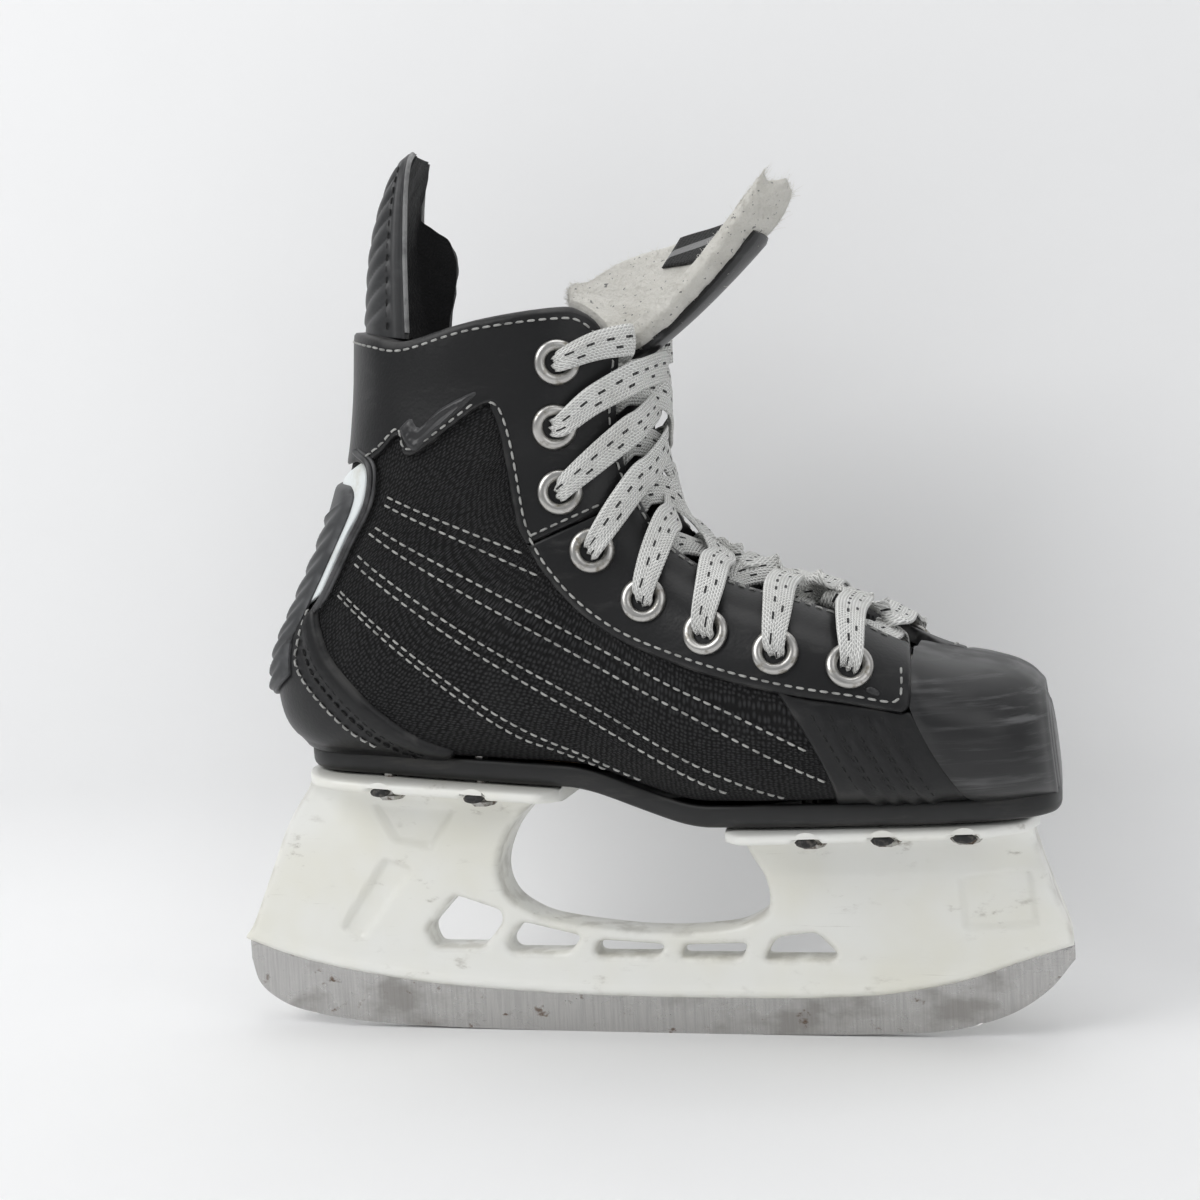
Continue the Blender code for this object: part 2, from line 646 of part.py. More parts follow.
def plan_outline(inset, first, last, count):
    """Foot-shaped outline seen from above, pulled in by an inset."""
    stations = [first + (last - first) * (0.5 - 0.5 * cos(pi * k / count)) for k in range(count + 1)]
    lateral = [(length_of(x), -max(0.0, sole_half_width(x) - inset)) for x in stations]
    medial = [(length_of(x), max(0.0, sole_half_width(x) - inset)) for x in stations[::-1]]
    return [p for p in lateral if p[1] < 0] + [p for p in medial if p[1] > 0]


def slab(name, outline, bottom, top, finish):
    """A plate with a plan outline whose faces follow the sole: offsets from the outsole's underside."""
    points = [Vector(p) for p in outline]
    xs = [length_of(v) for v in (-80.0, -50.0, -16.0, -8.0, 0.0, 8.0, 16.0, 25.0, 60.0, 90.0)]
    loop = list(range(len(points)))
    for x in xs:
        crossings = []
        for a, b in zip(outline, outline[1:] + outline[:1]):
            if (a[0] - x) * (b[0] - x) < 0:
                crossings.append(a[1] + (b[1] - a[1]) * (x - a[0]) / (b[0] - a[0]))
        if len(crossings) == 2:
            low, high = min(crossings), max(crossings)
            points += [Vector((x, low + (high - low) * f)) for f in (0.25, 0.5, 0.75)]
    flat = delaunay_2d_cdt(points, [], [loop], 1, 1e-6)
    plan, faces = flat[0], flat[2]
    verts = []
    for offset in (bottom, top):
        for p in plan:
            station = p.x * PATTERN_LENGTH / BOOT_LENGTH
            verts.append((p.x, p.y, sole_bottom(station) + offset))
    count = len(plan)
    sides = {}
    for face in faces:
        for a, b in zip(face, list(face[1:]) + [face[0]]):
            sides[(a, b)] = True
    solid = [list(f)[::-1] for f in faces] + [[v + count for v in f] for f in faces]
    solid += [[a, b, b + count, a + count] for (a, b) in sides if (b, a) not in sides]
    return object_from(name, verts, solid, finish)


def make_sole(rivet_holes, bolt_holes):
    boot = hollow("boot_hollow", QUARTER_DEPTH[0] - SEAM_GAP)
    liner_hollow = hollow("liner_hollow", LINING_DEPTH + LINER_THICKNESS + FIT_GAP)
    outsole = slab("outsole", plan_outline(0.0, -97.0, 112.4, 22), 0.0, SOLE_RIM_HEIGHT,
                   material("sole_plastic", (0.02, 0.02, 0.02), 0.55))
    cut(outsole, boot)
    cut(outsole, rivet_holes)
    cut(outsole, bolt_holes)
    board_low = SOLE_THICKNESS + FIT_GAP + QUARTER_DEPTH[1] + FIT_GAP
    board_shape = plan_outline(0.0095, -97.0, BOARD_TOE, 16)
    board = slab("insole_board", board_shape, board_low, board_low + BOARD_THICKNESS,
                 material("board", (0.45, 0.36, 0.25), 0.85))
    cut(board, liner_hollow, "INTERSECT")
    cut(board, rivet_holes)
    filler_low = SOLE_THICKNESS + QUARTER_DEPTH[0] + FIT_GAP / 2
    filler_shape = plan_outline(FILLER_INSET, -74.0, 84.0, 14)
    filler = slab("sole_filler", filler_shape, filler_low, board_low - 2 * FIT_GAP,
                  material("cork", (0.40, 0.28, 0.17), 0.9))
    cut(filler, hollow("filler_hollow", QUARTER_DEPTH[0]), "INTERSECT")
    cut(filler, rivet_holes)
    cut(filler, bolt_holes)
    footbed_low = board_low + BOARD_THICKNESS + FIT_GAP + RIVET_HEAD_HEIGHT
    footbed = slab("footbed", plan_outline(0.0115, -97.0, 112.4, 14), footbed_low,
                   footbed_low + FOOTBED_THICKNESS, material("footbed_foam", (0.06, 0.06, 0.065), 0.9))
    cut(footbed, liner_hollow, "INTERSECT")
    return board_low + BOARD_THICKNESS


# ---------------------------------------------------------------- holder, runner and fasteners
# Side-view points in pattern millimetres; z is the height above the ice.
HOLDER_REAR = [(-86.0, None), (-91.0, 69.0), (-97.0, 60.5), (-104.5, 45.0), (-111.5, 30.5)]
HOLDER_FRONT = [(113.6, 31.0), (109.0, 43.5), (106.0, 54.0), (105.5, None)]
BIG_WINDOW = [(29.5, None), (32.5, 51.0), (36.3, 44.0), (36.6, 36.0), (31.5, 31.8), (23.5, 29.6), (4.5, 28.8),
              (-20.0, 31.4), (-30.0, 34.6), (-35.8, 39.5), (-37.5, 47.0), (-34.0, 56.5), (-26.0, 65.0),
              (-17.5, None)]
SMALL_WINDOWS = [
    [(-50.5, 39.0), (-37.5, 34.6), (-37.5, 31.0), (-43.5, 24.0), (-58.0, 24.0), (-59.8, 29.0)],
    [(-32.0, 31.4), (-15.3, 27.4), (-19.0, 22.6), (-35.6, 22.6), (-37.0, 25.2)],
    [(-10.3, 26.4), (7.8, 25.2), (6.0, 21.8), (-11.6, 21.8), (-12.2, 23.4)],
    [(13.0, 25.2), (30.3, 25.8), (28.4, 21.4), (11.4, 21.4)],
    [(38.0, 27.4), (48.6, 29.0), (54.3, 22.6), (53.2, 21.3), (34.3, 21.3)],
]
RAIL = [(-114.5, 26.0), (-103.0, 21.8), (-91.0, 18.6), (-73.0, 15.4), (-55.0, 13.2), (-23.0, 11.2),
        (5.0, 10.6), (40.0, 10.7), (57.0, 11.4), (68.0, 12.4), (86.0, 16.0), (103.0, 22.0), (114.5, 26.0)]
ICE_EDGE = [(-114.5, 19.5), (-112.6, 12.6), (-108.0, 8.2), (-100.5, 4.8), (-86.0, 2.3), (-70.0, 1.0),
            (-40.0, 0.2), (0.0, 0.0), (40.0, 0.2), (69.0, 1.0), (84.5, 2.6), (97.5, 6.6), (107.5, 13.2),
            (114.5, 21.5)]
TABS = [(-76.0, 6.0), (78.0, 6.0)]           # middle and half width of the steel's two tabs
TAB_TOP = 40.0
BOLT_HEAD_Z = 33.0
REAR_RIVETS = [-64.0, -38.0]
FRONT_RIVETS = [50.0, 69.0, 89.0]
REAR_RIVET_Y, FRONT_RIVET_Y = 0.0140, 0.0160
FLANGE_REACH = {"rear": 0.0235, "front": 0.0275}


def upright(z):
    """Height of a holder feature: pattern millimetres above the ice to metres."""
    return z * BALL_HEIGHT / PATTERN_BALL


def rail_point(x, z):
    return x * RUNNER_HALF_LENGTH / 114.5, z * MM + RUNNER_SHOWING - 0.0108


def between(points, x):
    for (x0, z0), (x1, z1) in zip(points, points[1:]):
        if x0 <= x <= x1:
            return z0 + (z1 - z0) * (x - x0) / (x1 - x0)
    return points[0][1] if x < points[0][0] else points[-1][1]


def flange_top(x):
    return sole_bottom(x) - FIT_GAP


def flange_reach(x):
    """Half width of the flange at a pattern station."""
    widest = FLANGE_REACH["rear" if x < 0 else "front"]
    return max(PEDESTAL_HALF_WIDTH + 0.001, min(widest, sole_half_width(x) - 0.0035))


def holder_half_width(x, z):
    """Half width of the holder below its flanges, at a pattern station and a height in metres."""
    rail_top, pedestal_top = upright(21.0), flange_top(x) - FLANGE_THICKNESS
    rise = min(1.0, max(0.0, (z - rail_top) / (pedestal_top - rail_top)))
    return RAIL_HALF_WIDTH + (PEDESTAL_HALF_WIDTH - RAIL_HALF_WIDTH) * min(1.0, 0.25 + rise * 1.1) ** 1.2


def inside(point, loop):
    hit = False
    for (x0, z0), (x1, z1) in zip(loop, loop[1:] + loop[:1]):
        if (z0 > point[1]) != (z1 > point[1]):
            if point[0] < x0 + (x1 - x0) * (point[1] - z0) / (z1 - z0):
                hit = not hit
    return hit


def holder_corner(x, z):
    """A holder outline point; None is the flange's top."""
    return (length_of(x), flange_top(x)) if z is None else (length_of(x), upright(z))


def make_holder(bolt_places):
    rail = [rail_point(x, z) for x, z in RAIL]
    tops_front = [(length_of(x), flange_top(x)) for x in (95.0, 80.0, 65.0, 50.0, 38.0)]
    tops_rear = [(length_of(x), flange_top(x)) for x in (-28.0, -42.0, -56.0, -68.0, -78.0, -83.0)]
    outline = [holder_corner(*p) for p in HOLDER_REAR] + rail + [holder_corner(*p) for p in HOLDER_FRONT]
    outline += tops_front + [holder_corner(*p) for p in BIG_WINDOW] + tops_rear
    windows = [[holder_corner(*p) for p in window] for window in SMALL_WINDOWS]
    points, loops = [], []
    for loop in [outline] + windows:
        loops.append([len(points) + k for k in range(len(loop))])
        points += loop
    edges = []
    step = 0.0003
    rear_flange = [-87.0, -80.0, -72.0, -56.0, -42.0, -28.0, -19.5]
    front_flange = [31.0, 42.0, 56.0, 70.0, 85.0, 98.0, 105.6]
    for stations in (rear_flange, front_flange):
        for drop in (FLANGE_THICKNESS, FLANGE_THICKNESS + step):
            start = len(points)
            points += [(length_of(x), flange_top(x) - drop) for x in stations]
            edges += [(start + k, start + k + 1) for k in range(len(stations) - 1)]
    for x, z in [(-98.0, 42.0), (-88.0, 54.0), (-84.0, 36.0), (-70.0, 46.0), (-52.0, 50.0), (-64.0, 30.0),
                 (52.0, 44.0), (66.0, 38.0), (84.0, 44.0), (98.0, 38.0), (62.0, 26.0), (88.0, 28.0)]:
        points.append((length_of(x), upright(z)))
    flat = delaunay_2d_cdt([Vector(p) for p in points], edges, loops, 1, 1e-6)
    plan = [tuple(p) for p in flat[0]]
    faces = []
    for face in flat[2]:
        middle = (sum(plan[v][0] for v in face) / len(face), sum(plan[v][1] for v in face) / len(face))
        if inside(middle, outline) and not any(inside(middle, window) for window in windows):
            faces.append(list(face))
    used = sorted({v for face in faces for v in face})
    index = {v: k for k, v in enumerate(used)}
    verts = []
    for side in (LATERAL, MEDIAL):
        for v in used:
            x, z = plan[v]
            station = x * PATTERN_LENGTH / BOOT_LENGTH
            above = z > flange_top(station) - FLANGE_THICKNESS - step / 2
            high = above and z > upright(52.0)
            half = flange_reach(station) if high else holder_half_width(station, z)
            verts.append((x, side * half, z))
    count = len(used)
    solid = [[index[v] for v in face] for face in faces]
    solid += [[index[v] + count for v in face][::-1] for face in faces]
    sides = {(a, b) for face in faces for a, b in zip(face, face[1:] + face[:1])}
    solid += [[index[b], index[a], index[a] + count, index[b] + count] for a, b in sides if (b, a) not in sides]
    holder = object_from("holder", verts, solid, off_white_plastic())
    slot = [rail_point(x, z - 3.0) for x, z in RAIL] + steel_top(RUNNER_SIDE_GAP)[::-1]
    half = RUNNER_THICKNESS / 2 + RUNNER_SIDE_GAP
    cut(holder, prism_y("holder_slot", slot, -half, half))
    pockets = [((x, 0.0, z), Vector((0, 1, 0))) for x, z in bolt_places]
    head_room = cylinders("bolt_head_room", pockets, BOLT_HEAD_RADIUS + 0.0008, BOLT_HEAD_LENGTH / 2 + FIT_GAP)
    cut(holder, head_room)
    return holder


def steel_top(gap):
    """Upper edge of the steel, hidden in the holder, with its two tabs, from heel to toe."""
    line = []
    for x, z in RAIL[1:-1]:
        fade = min(1.0, (114.5 - abs(x)) / 22.0)
        line.append((x, z + RUNNER_IN_SLOT / MM * fade))
    points = [rail_point(x, z) for x, z in line]
    for middle, half in TABS:
        low, high = length_of(middle - half) - gap, length_of(middle + half) + gap
        station = [p for p in points if p[0] < low]
        after = [p for p in points if p[0] > high]
        z = between(points, length_of(middle))
        tab = [(low, z), (low, upright(TAB_TOP)), (high, upright(TAB_TOP)), (high, z)]
        points = station + tab + after
    return [rail_point(-114.5, 26.5)] + [(x, z + gap) for x, z in points] + [rail_point(114.5, 26.5)]


def make_runner(bolt_places):
    outline = [(p[0], max(0.0, p[1] * MM)) for p in ICE_EDGE]
    outline = [(x * RUNNER_HALF_LENGTH / 114.5, z) for x, z in outline]
    outline += steel_top(0.0)[::-1]
    half = RUNNER_THICKNESS / 2
    count = len(outline)
    verts = [(x, -half, z) for x, z in outline] + [(x, half, z) for x, z in outline]
    faces = [list(range(count)), list(range(2 * count - 1, count - 1, -1))]
    faces += [[k, k + count, (k + 1) % count + count, (k + 1) % count] for k in range(count)]
    runner = object_from("runner", verts, faces, steel())
    heads = [((x, 0.0, z), Vector((0, 1, 0))) for x, z in bolt_places]
    cut(runner, cylinders("runner_keyhole", heads, BOLT_HEAD_RADIUS + FIT_GAP, 0.01))
    for k, (x, z) in enumerate(bolt_places):
        wide = BOLT_RADIUS + FIT_GAP
        tall = upright(TAB_TOP) + 0.002
        slot = [(x - wide, z), (x + wide, z), (x + wide, tall), (x - wide, tall)]
        cut(runner, prism_y("runner_keyslot_%d" % k, slot, -0.01, 0.01))


def make_bolts(bolt_places, holder):
    shaft_holes = []
    for name, (x, z) in zip(("rear", "front"), bolt_places):
        top = flange_top(x * PATTERN_LENGTH / BOOT_LENGTH)
        nut_low = top - NUT_HEIGHT - 0.0006
        end = top - FIT_GAP
        rod = [(0.0, z), (BOLT_RADIUS, z), (BOLT_RADIUS, end), (0.0, end)]
        shaft = lathe("runner_bolt_" + name, rod, steel())
        shaft.location = (x, 0.0, 0.0)
        middle_of_head = [((0.0, 0.0, z), Vector((0, 1, 0)))]
        head = cylinders("bolt_head_" + name, middle_of_head, BOLT_HEAD_RADIUS, BOLT_HEAD_LENGTH / 2)
        head.location = (x, 0.0, 0.0)
        cut(shaft, head, "UNION")
        wall = BOLT_RADIUS + 0.00035
        nut_high = nut_low + NUT_HEIGHT
        ring = [(wall, nut_low), (NUT_RADIUS, nut_low), (NUT_RADIUS, nut_high), (wall, nut_high)]
        nut = lathe("runner_nut_" + name, ring, steel(), sides=6)
        nut.location = (x, 0.0, 0.0)
        middle = (top + z) / 2
        shaft_holes.append((Vector((x, 0.0, middle)), Vector((0, 0, 1)), (top - z) / 2 + 0.001))
        pocket = cylinders("nut_pocket_" + name, [((x, 0.0, top), Vector((0, 0, 1)))], NUT_RADIUS + 0.0008,
                           NUT_HEIGHT + 0.001, 6)
        cut(holder, pocket)
    for k, (centre, direction, half) in enumerate(shaft_holes):
        cut(holder, cylinders("bolt_shaft_hole_%d" % k, [(centre, direction)], BOLT_RADIUS + 0.0006, half))


def rivet_rows():
    """Rivet centres on the flange tops: (x, y, z) in metres."""
    rows = [(x, REAR_RIVET_Y) for x in REAR_RIVETS] + [(x, FRONT_RIVET_Y) for x in FRONT_RIVETS]
    return [(length_of(x), side * y, flange_top(x)) for x, y in rows for side in (LATERAL, MEDIAL)]


def make_rivets(places, board_top):
    under = -FLANGE_THICKNESS - 3 * FIT_GAP
    r, head, tall = RIVET_RADIUS, RIVET_HEAD_RADIUS, RIVET_HEAD_HEIGHT
    over = board_top + 2 * FIT_GAP
    profile = [(0.0, under - tall), (head * 0.8, under - tall), (head, under - tall * 0.3), (head, under), (r, under),
               (r, over), (head * 0.75, over), (head * 0.75, over + tall * 0.5), (0.0, over + tall * 0.5)]
    source = None
    for k, (x, y, z) in enumerate(places):
        name = "rivet_%02d" % (k + 1)
        source = lathe(name, profile, steel(), sides=6) if source is None else copy_of(source, name)
        source.location = (x, y, z)


# ---------------------------------------------------------------- eyelets and lace
EYELET_GRIP = QUARTER_DEPTH[1] + 3.5 * FIT_GAP     # material between the flange and the clinch


LACE_UNDER = QUARTER_DEPTH[1] + LACE_THICKNESS / 2 + 0.0011
LACE_OVER = {LATERAL: 0.0034, MEDIAL: 0.0012}
LACE_DROPS = {0: 1.9, 7: -0.3}    # boot rows by which the incoming lace passes below an eyelet


def find_eyelets():
    """Centre, outward normal and direction to the throat of each eyelet, from top to bottom."""
    rows = {}
    for side in (LATERAL, MEDIAL):
        rows[side] = []
        for x, z in EYELETS:
            station = x if side == LATERAL else lead(x)
            i, angle = place_on_side(station, z, side)
            centre, normal = faceted_point(i, angle, side)
            edge = skin(i, -side * (section_at(i)[9] if side == LATERAL else section_at(i)[10]))
            reach = edge - centre
            reach -= normal * reach.dot(normal)
            rows[side].append((centre, normal, reach.normalized(), i, angle))
    return rows


def faceted_point(i, angle, side):
    """Point and normal on the flat grid cell of the boot that holds a section and an angle."""
    k = min(int(i), LAST - 1)
    best = None
    for j in half_columns(side):
        a0 = (ring_angle(k, j) + ring_angle(k + 1, j)) / 2
        a1 = (ring_angle(k, j + 1) + ring_angle(k + 1, j + 1)) / 2
        if min(abs(a0), abs(a1)) <= abs(angle) <= max(abs(a0), abs(a1)):
            best = j
            t = (angle - a0) / (a1 - a0)
    s = i - k
    p00, p10 = skin(k, ring_angle(k, best)), skin(k + 1, ring_angle(k + 1, best))
    p01, p11 = skin(k, ring_angle(k, best + 1)), skin(k + 1, ring_angle(k + 1, best + 1))
    point = p00 * (1 - s) * (1 - t) + p10 * s * (1 - t) + p01 * (1 - s) * t + p11 * s * t
    normal = (p11 - p00).cross(p10 - p01).normalized()
    if normal.y * side < 0:
        normal = -normal
    return point, normal


def make_eyelets(rows):
    lift = 0.0008
    bore, barrel = EYELET_BORE_RADIUS, EYELET_BORE_RADIUS + EYELET_WALL
    top = lift + EYELET_FLANGE_HEIGHT
    profile = [(bore, -EYELET_GRIP - 0.0005), (EYELET_FLANGE_RADIUS * 0.63, -EYELET_GRIP - 0.0004),
               (barrel, -EYELET_GRIP), (barrel, lift), (EYELET_FLANGE_RADIUS, lift),
               (EYELET_FLANGE_RADIUS * 0.9, top), (bore, top)]
    source = None
    for side in (LATERAL, MEDIAL):
        for k, row in enumerate(rows[side]):
            name = "eyelet_%s_%d" % (SIDE_NAME[side], k + 1)
            finish = material("eyelet_nickel", (0.62, 0.61, 0.58), 0.28, 1.0)
            source = lathe(name, profile, finish, sides=8) if source is None else copy_of(source, name)
            stand_on(source, row[0], row[1])


def lace_turn(row, side, drop):
    """The lace at one eyelet, from under the throat edge, out through the bore and over the edge."""
    centre, normal, reach, i, angle = row
    throat = -side * section_at(i)[9 if side == LATERAL else 10]

    def along(fraction, depth, width, climb=0.0):
        return tuple(skin(i + climb, angle + (throat - angle) * fraction, depth)) + (width,)

    narrow = LACE_PINCHED_WIDTH
    behind, before = -EYELET_GRIP - 0.0035, EYELET_FLANGE_HEIGHT + 0.0030
    outside = -before
    return [along(1.35, 0.0020, LACE_WIDTH, -0.15 - drop), along(1.0, LACE_UNDER, LACE_WIDTH, -0.08 - drop),
            along(0.62, LACE_UNDER + 0.0006, LACE_WIDTH * 0.85, -drop * 0.6),
            tuple(centre + normal * behind + reach * 0.0016) + (narrow * 1.15,),
            tuple(centre - normal * EYELET_GRIP * 0.5) + (narrow,),
            tuple(centre + normal * before + reach * 0.0014) + (narrow * 1.1,),
            along(0.45, outside - 0.0006, LACE_WIDTH * 0.85), along(1.0, outside, LACE_WIDTH, 0.08),
            along(1.35, outside + 0.0009, LACE_WIDTH, 0.15)]


def lace_end(row, side):
    """The free end: over the throat edge and back between the boot and the tongue."""
    i, angle = row[3:5]
    throat = -side * section_at(i)[9 if side == LATERAL else 10]
    outside = -EYELET_FLANGE_HEIGHT - 0.0030
    return [tuple(skin(i - 0.25, angle + (throat - angle) * fraction, depth)) + (LACE_WIDTH,)
            for fraction, depth in ((1.0, outside), (1.19, -0.0008), (1.21, 0.0024), (1.12, 0.0058),
                                    (0.8, LACE_UNDER + 0.0003))]


def lace_route(rows):
    """Route points (x, y, z, width) of the whole lace, from one tucked end to the other."""
    count = len(rows[LATERAL])
    strands = []
    for start in (LATERAL, MEDIAL):
        points = []
        side = start
        for k in range(count - 1, -1, -1):
            row = rows[side][k]
            turn = lace_turn(row, side, LACE_DROPS.get(k, 0.0))
            points += turn[1:] if k == count - 1 else turn
            if k > 0:
                above = rows[-side][k - 1]
                middle = (row[3] + above[3] - LACE_DROPS.get(k - 1, 0.0)) / 2
                points.append(tuple(skin(middle, 0.0, -LACE_OVER[start])) + (LACE_WIDTH,))
                side = -side
            else:
                points[-2:] = lace_end(row, side)
        strands.append(points)
    low = (rows[LATERAL][count - 1][3] + rows[MEDIAL][count - 1][3]) / 2
    bar = [tuple(skin(low - 0.1, angle, 0.0014)) + (LACE_WIDTH,) for angle in (-4.0, 5.0)]
    return strands[1][::-1] + bar + strands[0]


def make_lace(rows):
    path = lace_route(rows)
    centres = [Vector(p[:3]) for p in path]
    verts, faces = [], []
    for k, centre in enumerate(centres):
        ahead = centres[min(k + 1, len(centres) - 1)] - centres[max(k - 1, 0)]
        ahead.normalize()
        wide = throat_direction(centre)
        wide = (wide - ahead * wide.dot(ahead)).normalized() * path[k][3] / 2
        thick = ahead.cross(wide).normalized() * LACE_THICKNESS / 2
        verts += [centre + wide + thick, centre - wide + thick, centre - wide - thick, centre + wide - thick]
    ring = 4
    for k in range(len(centres) - 1):
        for n in range(ring):
            m = (n + 1) % ring
            faces.append([k * ring + n, k * ring + m, (k + 1) * ring + m, (k + 1) * ring + n])
    faces.append(list(range(ring)))
    faces.append(list(range((len(centres) - 1) * ring, len(centres) * ring))[::-1])
    object_from("lace", verts, faces, material("lace_cotton", (0.66, 0.66, 0.62), 0.9))


def throat_direction(point):
    """Direction along the throat near a point, from the toe to the top."""
    best, found = 1e9, 8
    for k in range(5, LAST):
        gap = (skin(k, 0.0) - point).length
        if gap < best:
            best, found = gap, k
    return (skin(min(found + 1, LAST), 0.0) - skin(found - 1, 0.0)).normalized()


# ---------------------------------------------------------------- tongue
TONGUE_ROWS = [5.0, 6.3, 7.6, 9.0, 10.4, 11.8, 13.2, 14.8, 16.4, 18.0]
TONGUE_ANGLES = [-56.0, -42.0, -29.0, -19.0, -9.0, 0.0, 9.0, 19.0, 29.0, 42.0, 56.0]
TONGUE_PROUD = 0.0050                         # depth of its front face in the throat
TONGUE_TUCKED = LACE_UNDER + 0.00445          # and under the laced edges, clear of the lace there
# Front face of the free part of the tongue: lateral edge to medial wing, at its foot, half way
# up and at its top edge, as (x, y, z) in pattern millimetres.
TONGUE_FOOT = [(3.5, -11.5, 182.2), (6.5, -6.5, 180.8), (7.5, 0.0, 180.4), (6.0, 5.5, 181.2), (2.0, 10.0, 183.5),
               (-6.0, 13.5, 190.0), (-15.0, 15.5, 195.0)]
TONGUE_MIDDLE = [(23.0, -16.0, 193.5), (27.0, -8.5, 194.0), (28.0, 0.5, 195.0), (23.0, 10.0, 196.0),
                 (11.5, 17.0, 197.5), (-3.0, 21.5, 198.5), (-16.0, 23.5, 198.5)]
TONGUE_TIP = [(46.5, -15.0, 222.0), (49.5, -7.0, 220.0), (48.5, 3.0, 218.0), (40.0, 13.0, 214.5),
              (20.0, 22.0, 210.0), (0.0, 27.5, 208.5), (-18.0, 28.5, 203.5)]


def tongue_depth(i, angle):
    """Depth of the tongue's front face: proud in the throat, tucked under the laced edges."""
    throat = section_at(i)[9 if angle > 0 else 10]
    t = min(1.0, max(0.0, (abs(angle) / max(throat, 1.0) - 0.2) / 0.8))
    return TONGUE_PROUD + (TONGUE_TUCKED - TONGUE_PROUD) * t * t * (3 - 2 * t)


def make_tongue():
    black = material("tongue_vinyl", (0.02, 0.02, 0.021), 0.4)
    cells = [(r, c) for r in range(len(TONGUE_ROWS) - 1) for c in range(len(TONGUE_ANGLES) - 1)]

    def at(extra):
        def point(r, c):
            row, angle = TONGUE_ROWS[r], TONGUE_ANGLES[c]
            return skin(row, angle, tongue_depth(row, angle) + extra)
        return point

    back = TONGUE_FACING_THICKNESS + FIT_GAP
    shell("tongue_facing_lower", cells, at(0.0), at(TONGUE_FACING_THICKNESS), black)
    shell("tongue_felt_lower", cells, at(back), at(back + TONGUE_FELT_THICKNESS), felt())

    rows, columns = 6, len(TONGUE_FOOT) - 1

    def sheet(s, c):
        low, mid, high = (Vector((length_of(p[0]), width_of(p[1]), grade(0.0, p[2])[1]))
                          for p in (TONGUE_FOOT[c], TONGUE_MIDDLE[c], TONGUE_TIP[c]))
        return low * (1 - s) * (1 - 2 * s) + mid * 4 * s * (1 - s) + high * s * (2 * s - 1)

    def upper(extra):
        def point(r, c):
            s = r / rows
            here = sheet(s, c)
            along = sheet(min(1.0, s + 0.05), c) - sheet(max(0.0, s - 0.05), c)
            across = sheet(s, min(columns, c + 1)) - sheet(s, max(0, c - 1))
            normal = along.cross(across).normalized()
            return here + normal * extra + Vector((0, 0, extra * 0.3 if r == 0 else 0.0))
        return point

    cells = [(r, c) for r in range(rows) for c in range(columns)]
    front = [(r, c) for r, c in cells if c < 4 and r < rows - 1]
    shell("tongue_facing_upper", front, upper(0.0), upper(TONGUE_FACING_THICKNESS), black)
    shell("tongue_felt_upper", cells, upper(back), upper(back + TONGUE_FELT_THICKNESS + 0.001), felt())
    low = back + TONGUE_FELT_THICKNESS + 0.001 + FIT_GAP
    label = [(r, c) for r, c in cells if r >= rows - 2 and c == 3]
    shell("tongue_label", label, upper(low), upper(low + 0.0012), material("label_tape", (0.03, 0.03, 0.03), 0.6))


# ---------------------------------------------------------------- tendon guard
GUARD_ROWS = [(193.0, -66.5, 17.0, 15.0, 21.0, 9.0), (201.0, -65.6, 16.0, 12.5, 20.0, 10.5),
              (211.0, -64.4, 14.8, 8.6, 19.0, 9.5), (219.0, -62.6, 13.2, 6.4, 18.0, 5.0),
              (226.0, -60.2, 11.0, 4.6, 17.0, 0.5), (232.0, -57.4, 8.4, 3.0, 15.5, 0.2),
              (237.0, -54.4, 5.4, 1.8, 12.5, 0.1), (240.0, -51.8, 2.6, 0.8, 8.0, 0.1)]
GUARD_COLUMNS = 10


def guard_point(r, t, depth):
    """Tendon guard: row, -1 at the lateral front edge to 1 at the medial one, depth inward."""
    z, back, lateral, medial, half = GUARD_ROWS[r][:5]
    wrap = 1.0 - cos(abs(t) * pi / 2)
    forward = (lateral if t < 0 else medial) * wrap
    x, y = back + forward, half * sin(t * pi / 2)
    centre_x = back + 14.0
    inward = Vector((centre_x - x, -y, 0.0)).normalized()
    if wrap > 0.9:
        inward = Vector((0.15, -1.0 if t > 0 else 1.0, 0.0)).normalized()
    rise = collar_clear(x) if r == 0 else 0.0
    here = Vector((length_of(x), width_of(y), grade(0.0, z + rise)[1]))
    return here + inward * depth


def collar_clear(x):
    """Keeps the guard's foot above the collar's dipping top edge."""
    top = between(COLLAR_TOP[::-1], x)
    return min(1.5, top + 0.8 - 193.0)


def make_tendon_guard():
    rows = len(GUARD_ROWS) - 1
    cells = [(r, c) for r in range(rows) for c in range(GUARD_COLUMNS)]

    def sheet(depth, reach=1.0):
        def point(r, c):
            t = -1.0 + 2.0 * c / GUARD_COLUMNS
            return guard_point(r, t * reach, depth)
        return point

    shell("guard_shell", cells, sheet(0.0), sheet(GUARD_SHELL_THICKNESS), grey_moulding())
    outer = -FIT_GAP - GUARD_PANEL_THICKNESS
    middle = [(r, c) for r, c in cells if r < rows - 1 and 0 < c < GUARD_COLUMNS - 1]
    shell("guard_rib_panel", middle, sheet(outer), sheet(-FIT_GAP), grey_moulding())
    inner = GUARD_SHELL_THICKNESS + FIT_GAP

    def lining(depth):
        def point(r, c):
            if c <= GUARD_COLUMNS:
                return sheet(depth, 0.97)(r, c)
            edge = guard_point(r, 0.97, depth)
            return edge + Vector((GUARD_ROWS[r][5] * MM * (c - GUARD_COLUMNS) / 2, 0.0, 0.0))
        return point

    extra = [(r, c) for r in range(4) for c in (GUARD_COLUMNS, GUARD_COLUMNS + 1)]
    shell("guard_lining", cells + extra, lining(inner), lining(inner + GUARD_LINING_THICKNESS),
          material("brushed_lining", (0.008, 0.008, 0.009), 0.95))


